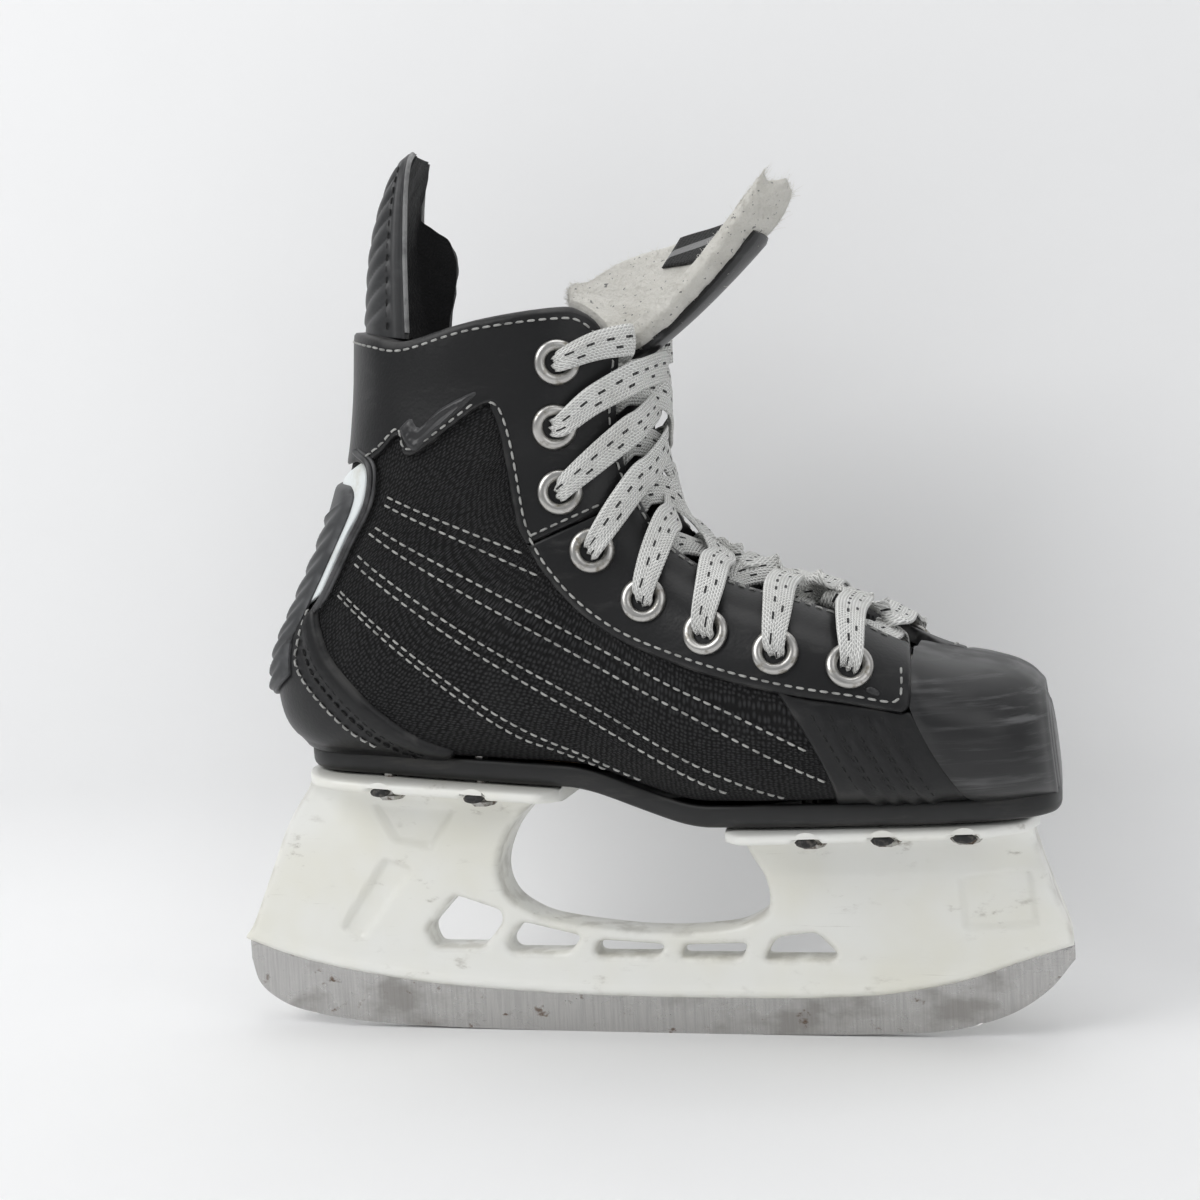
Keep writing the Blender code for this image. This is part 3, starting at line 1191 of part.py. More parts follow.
# ---------------------------------------------------------------- assembly
def build():
    clear_scene()
    rows = find_eyelets()
    holes = {}
    for side in (LATERAL, MEDIAL):
        places = [(row[0], row[1]) for row in rows[side]]
        holes[side] = cylinders("eyelet_holes_" + SIDE_NAME[side], places, EYELET_BORE_RADIUS + EYELET_WALL + 0.0006,
                                0.009, 8)
    rim_tool = clear_of_outsole("outsole_rim")
    make_quarters(holes)
    make_facings(holes, rim_tool)
    make_toe_cap(rim_tool)
    make_heel_pieces(rim_tool)
    make_heel_counter()
    make_inside()
    rivets = rivet_rows()
    shanks = [(place, Vector((0, 0, 1))) for place in rivets]
    rivet_holes = cylinders("rivet_holes", shanks, RIVET_RADIUS + 0.0005, 0.014, 8)
    bolts = [(length_of(middle), upright(BOLT_HEAD_Z)) for middle, half in TABS]
    above_bolts = [((x, 0.0, HEEL_HEIGHT), Vector((0, 0, 1))) for x, z in bolts]
    bolt_room = cylinders("nut_room", above_bolts, NUT_RADIUS + 0.001, 0.03)
    board_top = make_sole(rivet_holes, bolt_room)
    holder = make_holder(bolts)
    cut(holder, rivet_holes)
    make_runner(bolts)
    make_bolts(bolts, holder)
    make_rivets(rivets, board_top)
    make_eyelets(rows)
    make_lace(rows)
    make_tongue()
    make_tendon_guard()


build()
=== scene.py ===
"""A junior ice hockey skate for the right foot, dressed over its CAD frame.

Lengths in this script are millimetres until a mesh is made. +X points to the toe, +Z up and the
lateral side of the boot faces -Y. The skate stands on its runner.
"""

from math import cos, pi, radians, sin

import bmesh
import bpy
import numpy as np
from mathutils import Matrix, Vector, noise
from mathutils.geometry import delaunay_2d_cdt
from mathutils.kdtree import KDTree


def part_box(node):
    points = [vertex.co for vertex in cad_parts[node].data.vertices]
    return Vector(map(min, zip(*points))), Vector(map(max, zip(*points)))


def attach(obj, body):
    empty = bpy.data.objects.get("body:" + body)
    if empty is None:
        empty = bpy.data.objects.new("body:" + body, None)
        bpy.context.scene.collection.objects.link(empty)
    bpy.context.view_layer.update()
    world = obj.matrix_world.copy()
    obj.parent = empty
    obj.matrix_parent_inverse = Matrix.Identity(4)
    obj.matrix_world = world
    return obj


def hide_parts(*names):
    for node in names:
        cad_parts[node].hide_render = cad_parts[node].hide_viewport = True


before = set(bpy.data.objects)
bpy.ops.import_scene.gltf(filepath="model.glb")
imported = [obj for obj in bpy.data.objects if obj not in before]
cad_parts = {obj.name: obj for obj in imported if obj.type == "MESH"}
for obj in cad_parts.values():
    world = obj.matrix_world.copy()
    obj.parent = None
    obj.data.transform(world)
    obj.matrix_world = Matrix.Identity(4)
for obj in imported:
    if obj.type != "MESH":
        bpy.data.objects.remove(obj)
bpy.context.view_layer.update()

# ---------------------------------------------------------------- nylon quarters
# The boot's two side walls are ballistic nylon over a stiff board, lasted round the foot form and
# tucked under the outsole. Pairs of white stitch lines run down them from the heel to the toe.
MM = 0.001
LATERAL, MEDIAL = 1, -1        # sign of the angle round the boot, from its top middle
# Each section from the toe to the collar: top point (x, z), bottom or back point (x, z), lateral
# and medial half width, squareness of top and bottom, widest place, and throat half angles.
SECTIONS = [
    (110.6, 89.0, 112.6, None, 15.0, 15.0, 2.6, 2.8, 0.55, 0, 0),
    (108.4, 95.0, 110.8, None, 24.5, 24.0, 2.7, 3.0, 0.55, 0, 0),
    (103.5, 98.4, 106.0, None, 31.0, 30.5, 2.8, 3.1, 0.55, 0, 0),
    (96.0, 100.6, 98.0, None, 35.6, 35.0, 2.9, 3.2, 0.55, 0, 0),
    (86.0, 102.6, 87.0, None, 38.2, 38.0, 3.1, 3.2, 0.55, 0, 0),
    (76.0, 106.8, 75.0, None, 39.4, 39.6, 3.4, 3.2, 0.55, 13, 11),
    (64.0, 113.4, 62.0, None, 40.0, 40.0, 3.5, 3.2, 0.55, 16, 15),
    (51.0, 118.6, 48.0, None, 40.0, 39.6, 3.5, 3.2, 0.55, 17, 16),
    (38.0, 122.8, 34.0, None, 38.8, 38.2, 3.4, 3.2, 0.54, 18, 16),
    (27.0, 128.0, 20.0, None, 36.6, 36.2, 3.2, 3.2, 0.53, 20, 18),
    (19.0, 134.5, 6.0, None, 34.4, 34.4, 3.0, 3.2, 0.52, 23, 20),
    (14.5, 141.5, -10.0, None, 33.0, 33.4, 2.8, 3.2, 0.50, 26, 22),
    (12.8, 148.0, -28.0, None, 32.4, 33.4, 2.6, 3.2, 0.48, 29, 24),
    (12.0, 153.5, -48.0, None, 32.6, 33.8, 2.5, 3.2, 0.46, 31, 26),
    (12.0, 158.5, -68.0, None, 33.0, 34.0, 2.5, 3.0, 0.45, 32, 26),
    (12.0, 163.0, -84.0, None, 33.0, 34.0, 2.5, 2.8, 0.44, 32, 26),
    (12.0, 167.0, -94.6, 86.0, 33.0, 33.8, 2.5, 2.5, 0.44, 32, 26),
    (12.0, 171.0, -98.4, 96.0, 33.0, 33.6, 2.5, 2.3, 0.44, 32, 26),
    (12.2, 175.0, -97.2, 108.0, 33.0, 33.6, 2.5, 2.2, 0.44, 32, 26),
    (12.4, 179.0, -90.0, 122.0, 33.0, 33.6, 2.5, 2.2, 0.44, 32, 26),
    (12.6, 183.0, -81.0, 139.0, 33.0, 33.4, 2.5, 2.2, 0.45, 32, 26),
    (12.8, 187.0, -74.6, 156.0, 32.6, 33.0, 2.5, 2.2, 0.46, 32, 26),
    (13.0, 191.5, -71.0, 174.0, 32.2, 32.6, 2.5, 2.2, 0.47, 32, 26),
    (13.2, 196.0, -69.0, 196.0, 32.0, 32.4, 2.5, 2.2, 0.48, 32, 26),
]
LAST = len(SECTIONS) - 1
SOLE_THICK = 3.4
QUARTER_DEPTH = 1.8            # the nylon lies under the leather by this much
COLLAR_TOP = [(4.8, 183.0), (4.0, 189.0), (0.0, 193.0), (-6.0, 194.0), (-28.0, 192.5), (-47.0, 189.0),
              (-58.0, 191.0), (-68.5, 194.0)]
SOLE_TUCK = 4.6                # how far above the sole the boot pieces end, behind the sole's rim


def sole_height(x):
    """Underside of the outsole: heel seat, arch, then ball and toe."""
    t = np.clip((np.asarray(x, float) + 16.0) / 41.0, 0.0, 1.0)
    heel = 77.0 - 6.3 * (np.minimum(x, -16.0) + 98.0) / 82.0
    toe = 2.2 * np.maximum(np.asarray(x, float) - 25.0, 0.0) / 88.0
    return heel - 10.4 * t * t * (3.0 - 2.0 * t) + toe


FORM = np.array([row[:3] + (row[3] or float(sole_height(row[2])) + SOLE_THICK,) + row[4:]
                 for row in SECTIONS])


def section(i):
    """The form's values at a place between two sections, on a smooth curve."""
    i = np.clip(np.asarray(i, float), 0.0, LAST)
    k = np.minimum(i.astype(int), LAST - 1)
    t = (i - k)[..., None]
    a, b, c, d = (FORM[np.clip(k + step, 0, LAST)] for step in (-1, 0, 1, 2))
    return b + 0.5 * t * (c - a + t * (2 * a - 5 * b + 4 * c - d + t * (3 * (b - c) + d - a)))


def skin(i, angle, depth=0.0):
    """Points of the boot: section, angle round it and depth below its surface."""
    i, angle, depth = np.broadcast_arrays(*(np.asarray(v, float) for v in (i, angle, depth)))
    ax, az, bx, bz, lateral, medial, top, bottom, widest = np.moveaxis(section(i)[..., :9], -1, 0)
    span = np.hypot(bx - ax, bz - az)
    c, s = np.cos(np.radians(angle)), np.sin(np.radians(angle))
    power = 2.0 / np.where(c > 0, top, bottom)
    reach = np.where(c > 0, span * widest, span * (1.0 - widest)) - depth
    across = (np.where(s > 0, lateral, medial) - depth) * np.abs(s) ** power
    place = widest - np.sign(c) * reach * np.abs(c) ** power / span
    return np.stack([ax + (bx - ax) * place, -np.sign(s) * across, az + (bz - az) * place], -1)


def outward(i, angle):
    """Normals of the boot's surface."""
    i, angle = np.asarray(i, float), np.asarray(angle, float)
    along = skin(np.minimum(i + 0.1, LAST), angle) - skin(np.maximum(i - 0.1, 0), angle)
    round_it = skin(i, angle + 1.5) - skin(i, angle - 1.5)
    n = np.cross(along, round_it)
    n /= np.linalg.norm(n, axis=-1, keepdims=True) + 1e-9
    centre = (skin(i, 90.0) + skin(i, -90.0)) / 2
    return n * np.sign(((skin(i, angle) - centre) * n).sum(-1, keepdims=True))


def throat_angle(i, side):
    return section(i)[..., 9 if side == LATERAL else 10]


def smooth(points, step=1.2, closed=False):
    """A curve through a few points, with a point every step."""
    p = [np.asarray(q, float) for q in points]
    p = [p[-1]] + p + p[:2] if closed else [2 * p[0] - p[1]] + p + [2 * p[-1] - p[-2]]
    line = []
    for a, b, c, d in zip(p, p[1:], p[2:], p[3:]):
        count = max(2, int(np.linalg.norm(c - b) / step))
        for t in np.arange(count) / count:
            line.append(b + 0.5 * t * (c - a + t * (2 * a - 5 * b + 4 * c - d + t * (3 * (b - c) + d - a))))
    if not closed:
        line.append(p[-2])
    return np.array(line)


SIDE_PLACES = np.array([(i, a) for i in np.arange(0, LAST + 0.01, 0.1) for a in np.arange(8.0, 180.0, 1.5)])
side_view = KDTree(len(SIDE_PLACES))
for number, spot in enumerate(skin(SIDE_PLACES[:, 0], SIDE_PLACES[:, 1])):
    side_view.insert((spot[0], 0.0, spot[2]), number)
side_view.balance()


def on_side(points, side=LATERAL):
    """Section and angle of the boot's surface behind side-view points; the medial seams reach further."""
    found = []
    for x, z in points:
        x = x if side == LATERAL else x + max(0.0, x + 45.0) * 0.09
        spot = SIDE_PLACES[side_view.find((x, 0.0, z))[1]]
        stride = 1.0
        for _ in range(12):
            here = skin(spot[0], spot[1])[[0, 2]]
            steps = np.array([skin(spot[0] + 0.02, spot[1])[[0, 2]] - here,
                              skin(spot[0], spot[1] + 0.2)[[0, 2]] - here])
            if abs(np.linalg.det(steps)) < 1e-5:
                break
            change = np.linalg.solve(steps.T, np.array([x, z]) - here) * (0.02, 0.2)
            moved = np.clip(spot + stride * np.clip(change, (-0.4, -6.0), (0.4, 6.0)), (0.0, 4.0),
                            (LAST, 179.5))
            if np.linalg.norm(skin(*moved)[[0, 2]] - (x, z)) > np.linalg.norm(here - (x, z)) + 1e-3:
                stride /= 2.0
            else:
                spot = moved
        found.append((spot[0], max(spot[1], float(throat_angle(spot[0], side))) * side))
    return np.array(found)


def seam(points, side=LATERAL):
    return on_side(smooth(points), side)


def tuck_line(x0, x1, side=LATERAL):
    """Along the sole, hidden behind its rim."""
    xs = np.linspace(x0, x1, max(2, int(abs(x1 - x0) / 3)))
    return on_side(np.stack([xs, sole_height(xs) + SOLE_TUCK], -1), side)


def throat_line(i0, i1, side):
    rows = np.linspace(i0, i1, max(2, int(abs(i1 - i0) * 8)))
    return np.stack([rows, throat_angle(rows, side) * side], -1)


def back_line(i0, i1, side=LATERAL):
    return np.stack([np.linspace(i0, i1, 12), np.full(12, 180.0 * side)], -1)


SPREAD = np.array([9.0, 0.62])  # millimetres for one section and for one degree


def distance_to(points, loops):
    """Distance of flat points from the nearest edge of some closed loops."""
    best = np.full(len(points), 1e9)
    for loop in loops:
        a, b = loop, np.roll(loop, -1, 0)
        ab = b - a
        for start in range(0, len(points), 2000):
            p = points[start:start + 2000, None, :]
            t = np.clip(((p - a) * ab).sum(-1) / ((ab ** 2).sum(-1) + 1e-12), 0, 1)
            gap = np.linalg.norm(a + ab * t[..., None] - p, axis=-1).min(1)
            best[start:start + 2000] = np.minimum(best[start:start + 2000], gap)
    return best


def inside(points, loops):
    hit = np.zeros(len(points), bool)
    for loop in loops:
        for (x0, y0), (x1, y1) in zip(loop, np.roll(loop, -1, 0)):
            crossing = (y0 > points[:, 1]) != (y1 > points[:, 1])
            hit ^= crossing & (points[:, 0] < x0 + (x1 - x0) * (points[:, 1] - y0) / (y1 - y0 + 1e-12))
    return hit


def even(loop, step):
    """A closed loop with a point every step."""
    loop = loop[np.linalg.norm(loop - np.roll(loop, 1, 0), axis=1) > 0.02]
    run = np.r_[0, np.cumsum(np.linalg.norm(np.roll(loop, -1, 0) - loop, axis=1))]
    places = np.linspace(0, run[-1], max(8, int(run[-1] / step)), endpoint=False)
    closed = np.r_[loop, loop[:1]]
    return np.stack([np.interp(places, run, closed[:, k]) for k in (0, 1)], -1)


def fill(loops, grid, rings):
    """Triangles over a flat shape with holes: points, faces and each point's distance from the edge."""
    low, high = loops[0].min(0), loops[0].max(0)
    gx, gy = np.meshgrid(np.arange(low[0], high[0], grid), np.arange(low[1], high[1], grid * 0.87))
    gx = gx + (np.arange(len(gx)) % 2)[:, None] * grid / 2
    points = [np.stack([gx.ravel(), gy.ravel()], -1)]
    limits = [np.full(gx.size, rings[-1] + grid * 0.4)]
    for loop in loops:
        ahead = np.roll(loop, -1, 0) - np.roll(loop, 1, 0)
        across = np.stack([-ahead[:, 1], ahead[:, 0]], -1) / (np.linalg.norm(ahead, axis=1)[:, None] + 1e-9)
        for ring in rings:
            for way in (1, -1):
                points.append(loop + across * ring * way)
                limits.append(np.full(len(loop), ring * 0.85))
    points, limits = np.concatenate(points), np.concatenate(limits)
    keep = inside(points, loops) & (distance_to(points, loops) > limits)
    points = np.concatenate(loops + [points[keep]])
    edges, start = [], 0
    for loop in loops:
        edges += [(start + k, start + (k + 1) % len(loop)) for k in range(len(loop))]
        start += len(loop)
    flat = delaunay_2d_cdt([Vector(p) for p in points], edges, [], 0, 1e-4)
    points, faces = np.array([tuple(p) for p in flat[0]]), np.array([f for f in flat[2] if len(f) == 3])
    faces = faces[inside(points[faces].mean(1), loops)]
    used, faces = np.unique(faces, return_inverse=True)
    return points[used], faces.reshape(-1, 3), distance_to(points[used], loops)


def closed_from(front, back, faces):
    """A closed piece from two skins that share their faces."""
    count = len(front)
    sides = {(a, b) for f in faces.tolist() for a, b in zip(f, f[1:] + f[:1])}
    solid = faces.tolist() + [[v + count for v in f[::-1]] for f in faces.tolist()]
    solid += [[b, a, a + count, b + count] for a, b in sides if (b, a) not in sides]
    return np.concatenate([front, back]), solid


def quads(rows, columns, closed=True):
    """Faces of points laid row by row; closed joins each row's last point to its first."""
    across = columns if closed else columns - 1
    return [[r * columns + k, r * columns + (k + 1) % columns, (r + 1) * columns + (k + 1) % columns,
             (r + 1) * columns + k] for r in range(rows - 1) for k in range(across)]


def mesh_piece(name, points, faces, finish, uv=None, rim=None, sharp=40):
    """An object from points in millimetres. rim is each point's distance from the piece's edge."""
    data = bpy.data.meshes.new(name)
    data.from_pydata((np.asarray(points) * MM).tolist(), [], [list(f) for f in faces])
    data.materials.append(finish)
    work = bmesh.new()
    work.from_mesh(data)
    bmesh.ops.recalc_face_normals(work, faces=work.faces)
    work.to_mesh(data)
    work.free()
    corners = np.empty(len(data.loops), int)
    data.loops.foreach_get("vertex_index", corners)
    if uv is not None:
        data.uv_layers.new(name="UVMap").data.foreach_set("uv", np.asarray(uv)[corners].ravel())
    if rim is not None:
        data.attributes.new("rim", "FLOAT", "POINT").data.foreach_set("value", np.asarray(rim, float))
    data.shade_smooth()
    data.set_sharp_from_angle(angle=radians(sharp))
    made = bpy.data.objects.new(name, data)
    bpy.context.collection.objects.link(made)
    return made


def join(name, pieces, finish, rim=None, sharp=40):
    """One mesh of several (points, faces, uv) lists."""
    points, faces, uvs, start = [], [], [], 0
    for part in pieces:
        points.append(np.asarray(part[0], float))
        faces += [[v + start for v in f] for f in part[1]]
        uvs.append(part[2] if len(part) > 2 else np.zeros((len(part[0]), 2)))
        start += len(part[0])
    return mesh_piece(name, np.concatenate(points), faces, finish, uv=np.concatenate(uvs), rim=rim,
                      sharp=sharp)


def ripple(points, size, seed=0.0):
    """Slow uneven rise and fall over a surface, about -1 to 1."""
    shift = Vector((seed, seed * 1.7, -seed))
    return np.array([noise.noise(Vector(p) / size + shift) for p in np.asarray(points).tolist()])


def panel(name, outline, finish, depth=0.0, back=1.5, grid=1.7, roll=0.8, wrinkle=0.12, shape=None):
    """A piece cut from sheet, laid on the boot: outline is a closed line of (section, angle)."""
    flat, faces, rim = fill([even(outline * SPREAD, 1.1)], grid, [0.3, 0.9])
    i, angle = (flat / SPREAD).T
    edge = np.clip(1.0 - rim / roll, 0.0, 1.0)
    fall = roll * 0.8 * (1.0 - np.sqrt(1.0 - edge ** 2))
    rise = shape(i, angle, rim) if shape else 0.0
    front = skin(i, angle, depth + fall)
    front = front + outward(i, angle) * (rise + wrinkle * ripple(front, 14.0, depth))[..., None]
    points, solid = closed_from(front, skin(i, angle, back), faces)
    return mesh_piece(name, points, solid, finish, uv=np.tile(flat, (2, 1)), rim=np.r_[rim, rim * 0],
                      sharp=60)


def new_material(name, colour, roughness, **sockets):
    made = bpy.data.materials.new(name)
    made.use_nodes = True
    shader = made.node_tree.nodes["Principled BSDF"]
    shader.inputs["Base Color"].default_value = (*colour, 1.0)
    shader.inputs["Roughness"].default_value = roughness
    for socket, value in sockets.items():
        shader.inputs[socket.replace("_", " ")].default_value = value
    return made, made.node_tree, shader


def add(tree, kind, inputs=(), **settings):
    """A shader node with its settings, and its inputs linked or set."""
    made = tree.nodes.new("ShaderNode" + kind)
    for key, value in settings.items():
        setattr(made, key, value)
    for key, value in dict(inputs).items():
        if isinstance(value, bpy.types.NodeSocket):
            tree.links.new(value, made.inputs[key])
        else:
            made.inputs[key].default_value = value
    return made


def maths(tree, operation, *values):
    return add(tree, "Math", {k: v for k, v in enumerate(values)}, operation=operation).outputs[0]


def feed(shader, socket, value):
    """Link a value or colour to one of a shader's sockets."""
    shader.id_data.links.new(value, shader.inputs[socket])


def two_tone(tree, mask, first, second):
    """A colour that goes from the first to the second as the mask rises."""
    mixed = add(tree, "Mix", {0: mask}, data_type="RGBA")
    for socket, colour in ((6, first), (7, second)):
        if isinstance(colour, bpy.types.NodeSocket):
            tree.links.new(colour, mixed.inputs[socket])
        else:
            mixed.inputs[socket].default_value = (*colour, 1.0)
    return mixed.outputs[2]


def between(tree, value, low, high):
    """A value in 0 to 1, spread over low to high."""
    return add(tree, "MapRange", {"Value": value, "To Min": low, "To Max": high}).outputs[0]


def raised(tree, shader, height, distance, strength=1.0, under=None):
    bump = add(tree, "Bump", {"Height": height, "Strength": strength, "Distance": distance * MM})
    if under is not None:
        tree.links.new(under, bump.inputs["Normal"])
    tree.links.new(bump.outputs[0], shader.inputs["Normal"])
    return bump.outputs[0]


def new_group(name, inputs, outputs):
    group = bpy.data.node_groups.new(name, "ShaderNodeTree")
    for label, kind, value in inputs:
        group.interface.new_socket(label, in_out="INPUT",
                                   socket_type="NodeSocket" + kind).default_value = value
    for label in outputs:
        group.interface.new_socket(label, in_out="OUTPUT", socket_type="NodeSocketFloat")
    return group, group.nodes.new("NodeGroupInput").outputs, group.nodes.new("NodeGroupOutput").inputs


# Patches: uneven wear, dirt and scratches, long in one direction where Stretch says so.
PATCHES, given, gives = new_group(
    "patches", [("Stretch", "Vector", (1.0, 1.0, 1.0)), ("Detail", "Float", 4.0), ("Low", "Float", 0.5),
                ("High", "Float", 0.7)], ["Mask"])
place = add(PATCHES, "TexCoord").outputs["Object"]
scaled = add(PATCHES, "VectorMath", {0: place, 1: given["Stretch"]}, operation="MULTIPLY").outputs[0]
cloud = add(PATCHES, "TexNoise", {"Vector": scaled, "Scale": 1.0, "Detail": given["Detail"],
                                  "Roughness": 0.62})
spread = add(PATCHES, "MapRange", {"Value": cloud.outputs["Fac"], "From Min": given["Low"],
                                   "From Max": given["High"]}, interpolation_type="SMOOTHSTEP")
PATCHES.links.new(spread.outputs[0], gives["Mask"])

# Weave: crossing threads that pass over and under each other, from the piece's flat lengths.
WEAVE, given, gives = new_group("weave", [("Pitch", "Float", 1.0)], ["Height", "Dots"])
flat_place = add(WEAVE, "TexCoord").outputs["UV"]
threads = maths(WEAVE, "DIVIDE", 1.0, given["Pitch"])
turned = add(WEAVE, "VectorMath", {0: flat_place, 3: threads}, operation="SCALE").outputs[0]
dots = add(WEAVE, "TexVoronoi", {"Vector": turned, "Scale": 1.0, "Randomness": 0.45}, voronoi_dimensions="2D")
crown = add(WEAVE, "MapRange", {"Value": dots.outputs["Distance"], "From Min": 0.1, "From Max": 0.62,
                                "To Min": 1.0,
                                "To Max": 0.0}, interpolation_type="SMOOTHSTEP").outputs[0]
WEAVE.links.new(crown, gives["Height"])
# Dots marks the thread crowns. The nylon and the label paint them lighter, which is a painted sheen.
WEAVE.links.new(maths(WEAVE, "POWER", crown, 2.0), gives["Dots"])


def placed(tree, group, **values):
    made = tree.nodes.new("ShaderNodeGroup")
    made.node_tree = group
    for key, value in values.items():
        if isinstance(value, bpy.types.NodeSocket):
            tree.links.new(value, made.inputs[key])
        else:
            made.inputs[key].default_value = value
    return made.outputs


def make_nylon():
    made, tree, shader = new_material("ballistic_nylon", (0.012, 0.012, 0.013), 0.55, Specular_IOR_Level=0.3)
    weave = placed(tree, WEAVE, Pitch=0.85)
    dust = placed(tree, PATCHES, Stretch=(60.0, 60.0, 60.0), Low=0.45, High=0.75)["Mask"]
    # The thread crowns are painted lighter than the black nylon between them: a painted sheen.
    crown_sheen_colour = two_tone(tree, weave["Dots"], (0.0018, 0.0018, 0.002), (0.019, 0.019, 0.020))
    feed(shader, "Base Color", two_tone(tree, between(tree, dust, 0.0, 0.10), crown_sheen_colour, (0.06, 0.06, 0.06)))
    feed(shader, "Roughness", between(tree, weave["Dots"], 0.85, 0.48))
    raised(tree, shader, weave["Height"], 0.35)
    return made


nylon = make_nylon()
for side, name in ((LATERAL, "lateral"), (MEDIAL, "medial")):
    outline = np.concatenate([
        tuck_line(60.0, -82.0, side), back_line(15.6, 22.7, side),
        seam([(x, z - 1.0) for x, z in COLLAR_TOP[::-1]], side), throat_line(21.2, 5.2, side),
        seam([(77.0, 104.0), (77.0, 92.0), (72.0, 80.0), (66.0, 66.0)], side)])
    quarter = panel("nylon_quarter_" + name, outline, nylon, QUARTER_DEPTH, 3.6, grid=2.0, wrinkle=0.25)
    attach(quarter, "skate")
    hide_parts("quarter_" + name)

# ---------------------------------------------------------------- white stitching
# Every seam of the boot is sewn with one thick white bonded thread, about nine stitches to 25 mm.
# Each stitch dips into its holes at both ends.
STITCH_LENGTH, STITCH_PITCH, STITCH_RADIUS = 2.1, 2.9, 0.30


def make_thread(name, colour):
    made, tree, shader = new_material(name, colour, 0.7)
    dirt = placed(tree, PATCHES, Stretch=(170.0, 170.0, 170.0), Low=0.42, High=0.72)["Mask"]
    dark = tuple(c * 0.45 for c in colour)
    feed(shader, "Base Color", two_tone(tree, between(tree, dirt, 0.0, 0.8), colour, dark))
    twist = add(tree, "TexWave", {"Scale": 900.0, "Distortion": 1.0}, wave_type="BANDS",
                bands_direction="DIAGONAL")
    raised(tree, shader, twist.outputs["Fac"], 0.12, 0.8)
    return made


def tube(line, radius, sides=6, frame_normal=None):
    """Points and faces of a closed tube round a line; radius may vary along it."""
    line = np.asarray(line, float)
    ahead = np.gradient(line, axis=0)
    ahead /= np.linalg.norm(ahead, axis=1)[:, None] + 1e-9
    up = np.broadcast_to(np.array((0.0, -1.0, 0.3)) if frame_normal is None else frame_normal, line.shape)
    across = np.cross(ahead, up)
    across /= np.linalg.norm(across, axis=1)[:, None] + 1e-9
    up = np.cross(across, ahead)
    turn = np.arange(sides) * 2 * pi / sides
    radius = np.broadcast_to(np.asarray(radius, float), (len(line),))
    ring = across[:, None] * np.cos(turn)[:, None] + up[:, None] * np.sin(turn)[:, None]
    points = (line[:, None] + ring * radius[:, None, None]).reshape(-1, 3)
    faces = quads(len(line), sides)
    faces += [list(range(sides))[::-1], [(len(line) - 1) * sides + k for k in range(sides)]]
    return points, faces


def stitches(line, normals, pitch=STITCH_PITCH, length=STITCH_LENGTH, radius=STITCH_RADIUS):
    """Separate stitches along a line on a surface."""
    run = np.r_[0, np.cumsum(np.linalg.norm(np.diff(line, axis=0), axis=1))]
    made = []
    profile = np.linspace(-1.0, 1.0, 6)
    for number in range(int(run[-1] / pitch)):
        places = (number + 0.5) * pitch + profile * length / 2
        middle = np.stack([np.interp(places, run, line[:, k]) for k in range(3)], -1)
        normal = np.stack([np.interp(places, run, normals[:, k]) for k in range(3)], -1)
        lift = radius * (0.75 - 1.5 * profile ** 6)
        made.append(tube(middle + normal * lift[:, None], radius * (1.0 - 0.55 * profile ** 6),
                         frame_normal=normal))
    return made


def sewn(places, depth=0.0):
    """Stitches along (section, angle) places on the boot."""
    return stitches(skin(places[:, 0], places[:, 1], depth), outward(places[:, 0], places[:, 1]))


QUARTER_LINES = [
    [(-55.6, 149.1), (-16.5, 133.0)], [(-56.5, 147.1), (-35.0, 137.5), (-13.0, 127.1)],
    [(-59.5, 141.4), (-28.1, 124.5), (-4.3, 111.0), (16.8, 99.9), (35.5, 91.2), (54.4, 81.0)],
    [(-61.5, 139.9), (-28.4, 119.9), (3.9, 101.2), (24.7, 90.5), (43.1, 80.4), (57.9, 72.6)],
    [(-65.2, 134.2), (-29.1, 109.0), (0.5, 91.2), (22.0, 78.8), (45.6, 67.5)],
    [(-66.2, 132.1), (-29.3, 105.4), (4.7, 84.1), (25.0, 72.5), (33.0, 68.5)],
    [(-71.0, 125.0), (-30.5, 91.8), (-6.5, 78.3), (8.0, 71.5)],
    [(-71.9, 124.0), (-30.7, 88.9), (-14.2, 79.9), (-1.5, 73.6)],
]
white_thread = make_thread("white_thread", (0.70, 0.70, 0.67))
lines = []
for side in (LATERAL, MEDIAL):
    for line in QUARTER_LINES:
        lines += sewn(seam(line, side), QUARTER_DEPTH)
quarter_stitching = join("quarter_stitching", lines, white_thread)
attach(quarter_stitching, "skate")

# ---------------------------------------------------------------- collar, eyestay and vamp
# Smooth black coated leather, cut in three overlapping pieces on each side: the collar round the
# ankle, the eyestay down the throat and the vamp behind the toe cap. Their edges are turned.
COLLAR_EDGE = [(-66.0, 159.0), (-62.0, 158.2), (-56.5, 161.0), (-50.5, 165.0), (-46.7, 159.5), (-26.5, 171.3),
               (-23.8, 170.0), (-21.5, 162.0), (-19.0, 142.0), (-16.5, 135.5)]
OVERLAP_SEAM = [(-16.5, 135.5), (3.5, 143.5), (12.0, 147.0)]
EYESTAY_EDGE = [(-16.5, 135.5), (-12.0, 127.5), (-4.5, 118.5), (6.5, 110.5), (21.5, 104.3), (36.5, 99.6),
                (51.0, 96.2), (63.5, 94.0), (76.0, 91.5)]
EYESTAY_END = [(76.0, 91.5), (78.0, 93.0), (78.6, 98.0), (78.0, 104.0), (75.5, 108.5)]
NYLON_FRONT = [(46.5, 97.2), (54.0, 84.0), (58.5, 72.5), (57.8, 65.4)]
TOE_SEAM = [(79.5, 110.0), (78.3, 92.0), (91.5, 66.0)]
VAMP_RIBS = [((56.0, 93.5), (66.6, 71.6)), ((60.4, 93.5), (71.4, 70.9)), ((64.8, 93.2), (76.2, 70.2)),
             ((69.2, 92.9), (81.0, 69.6))]

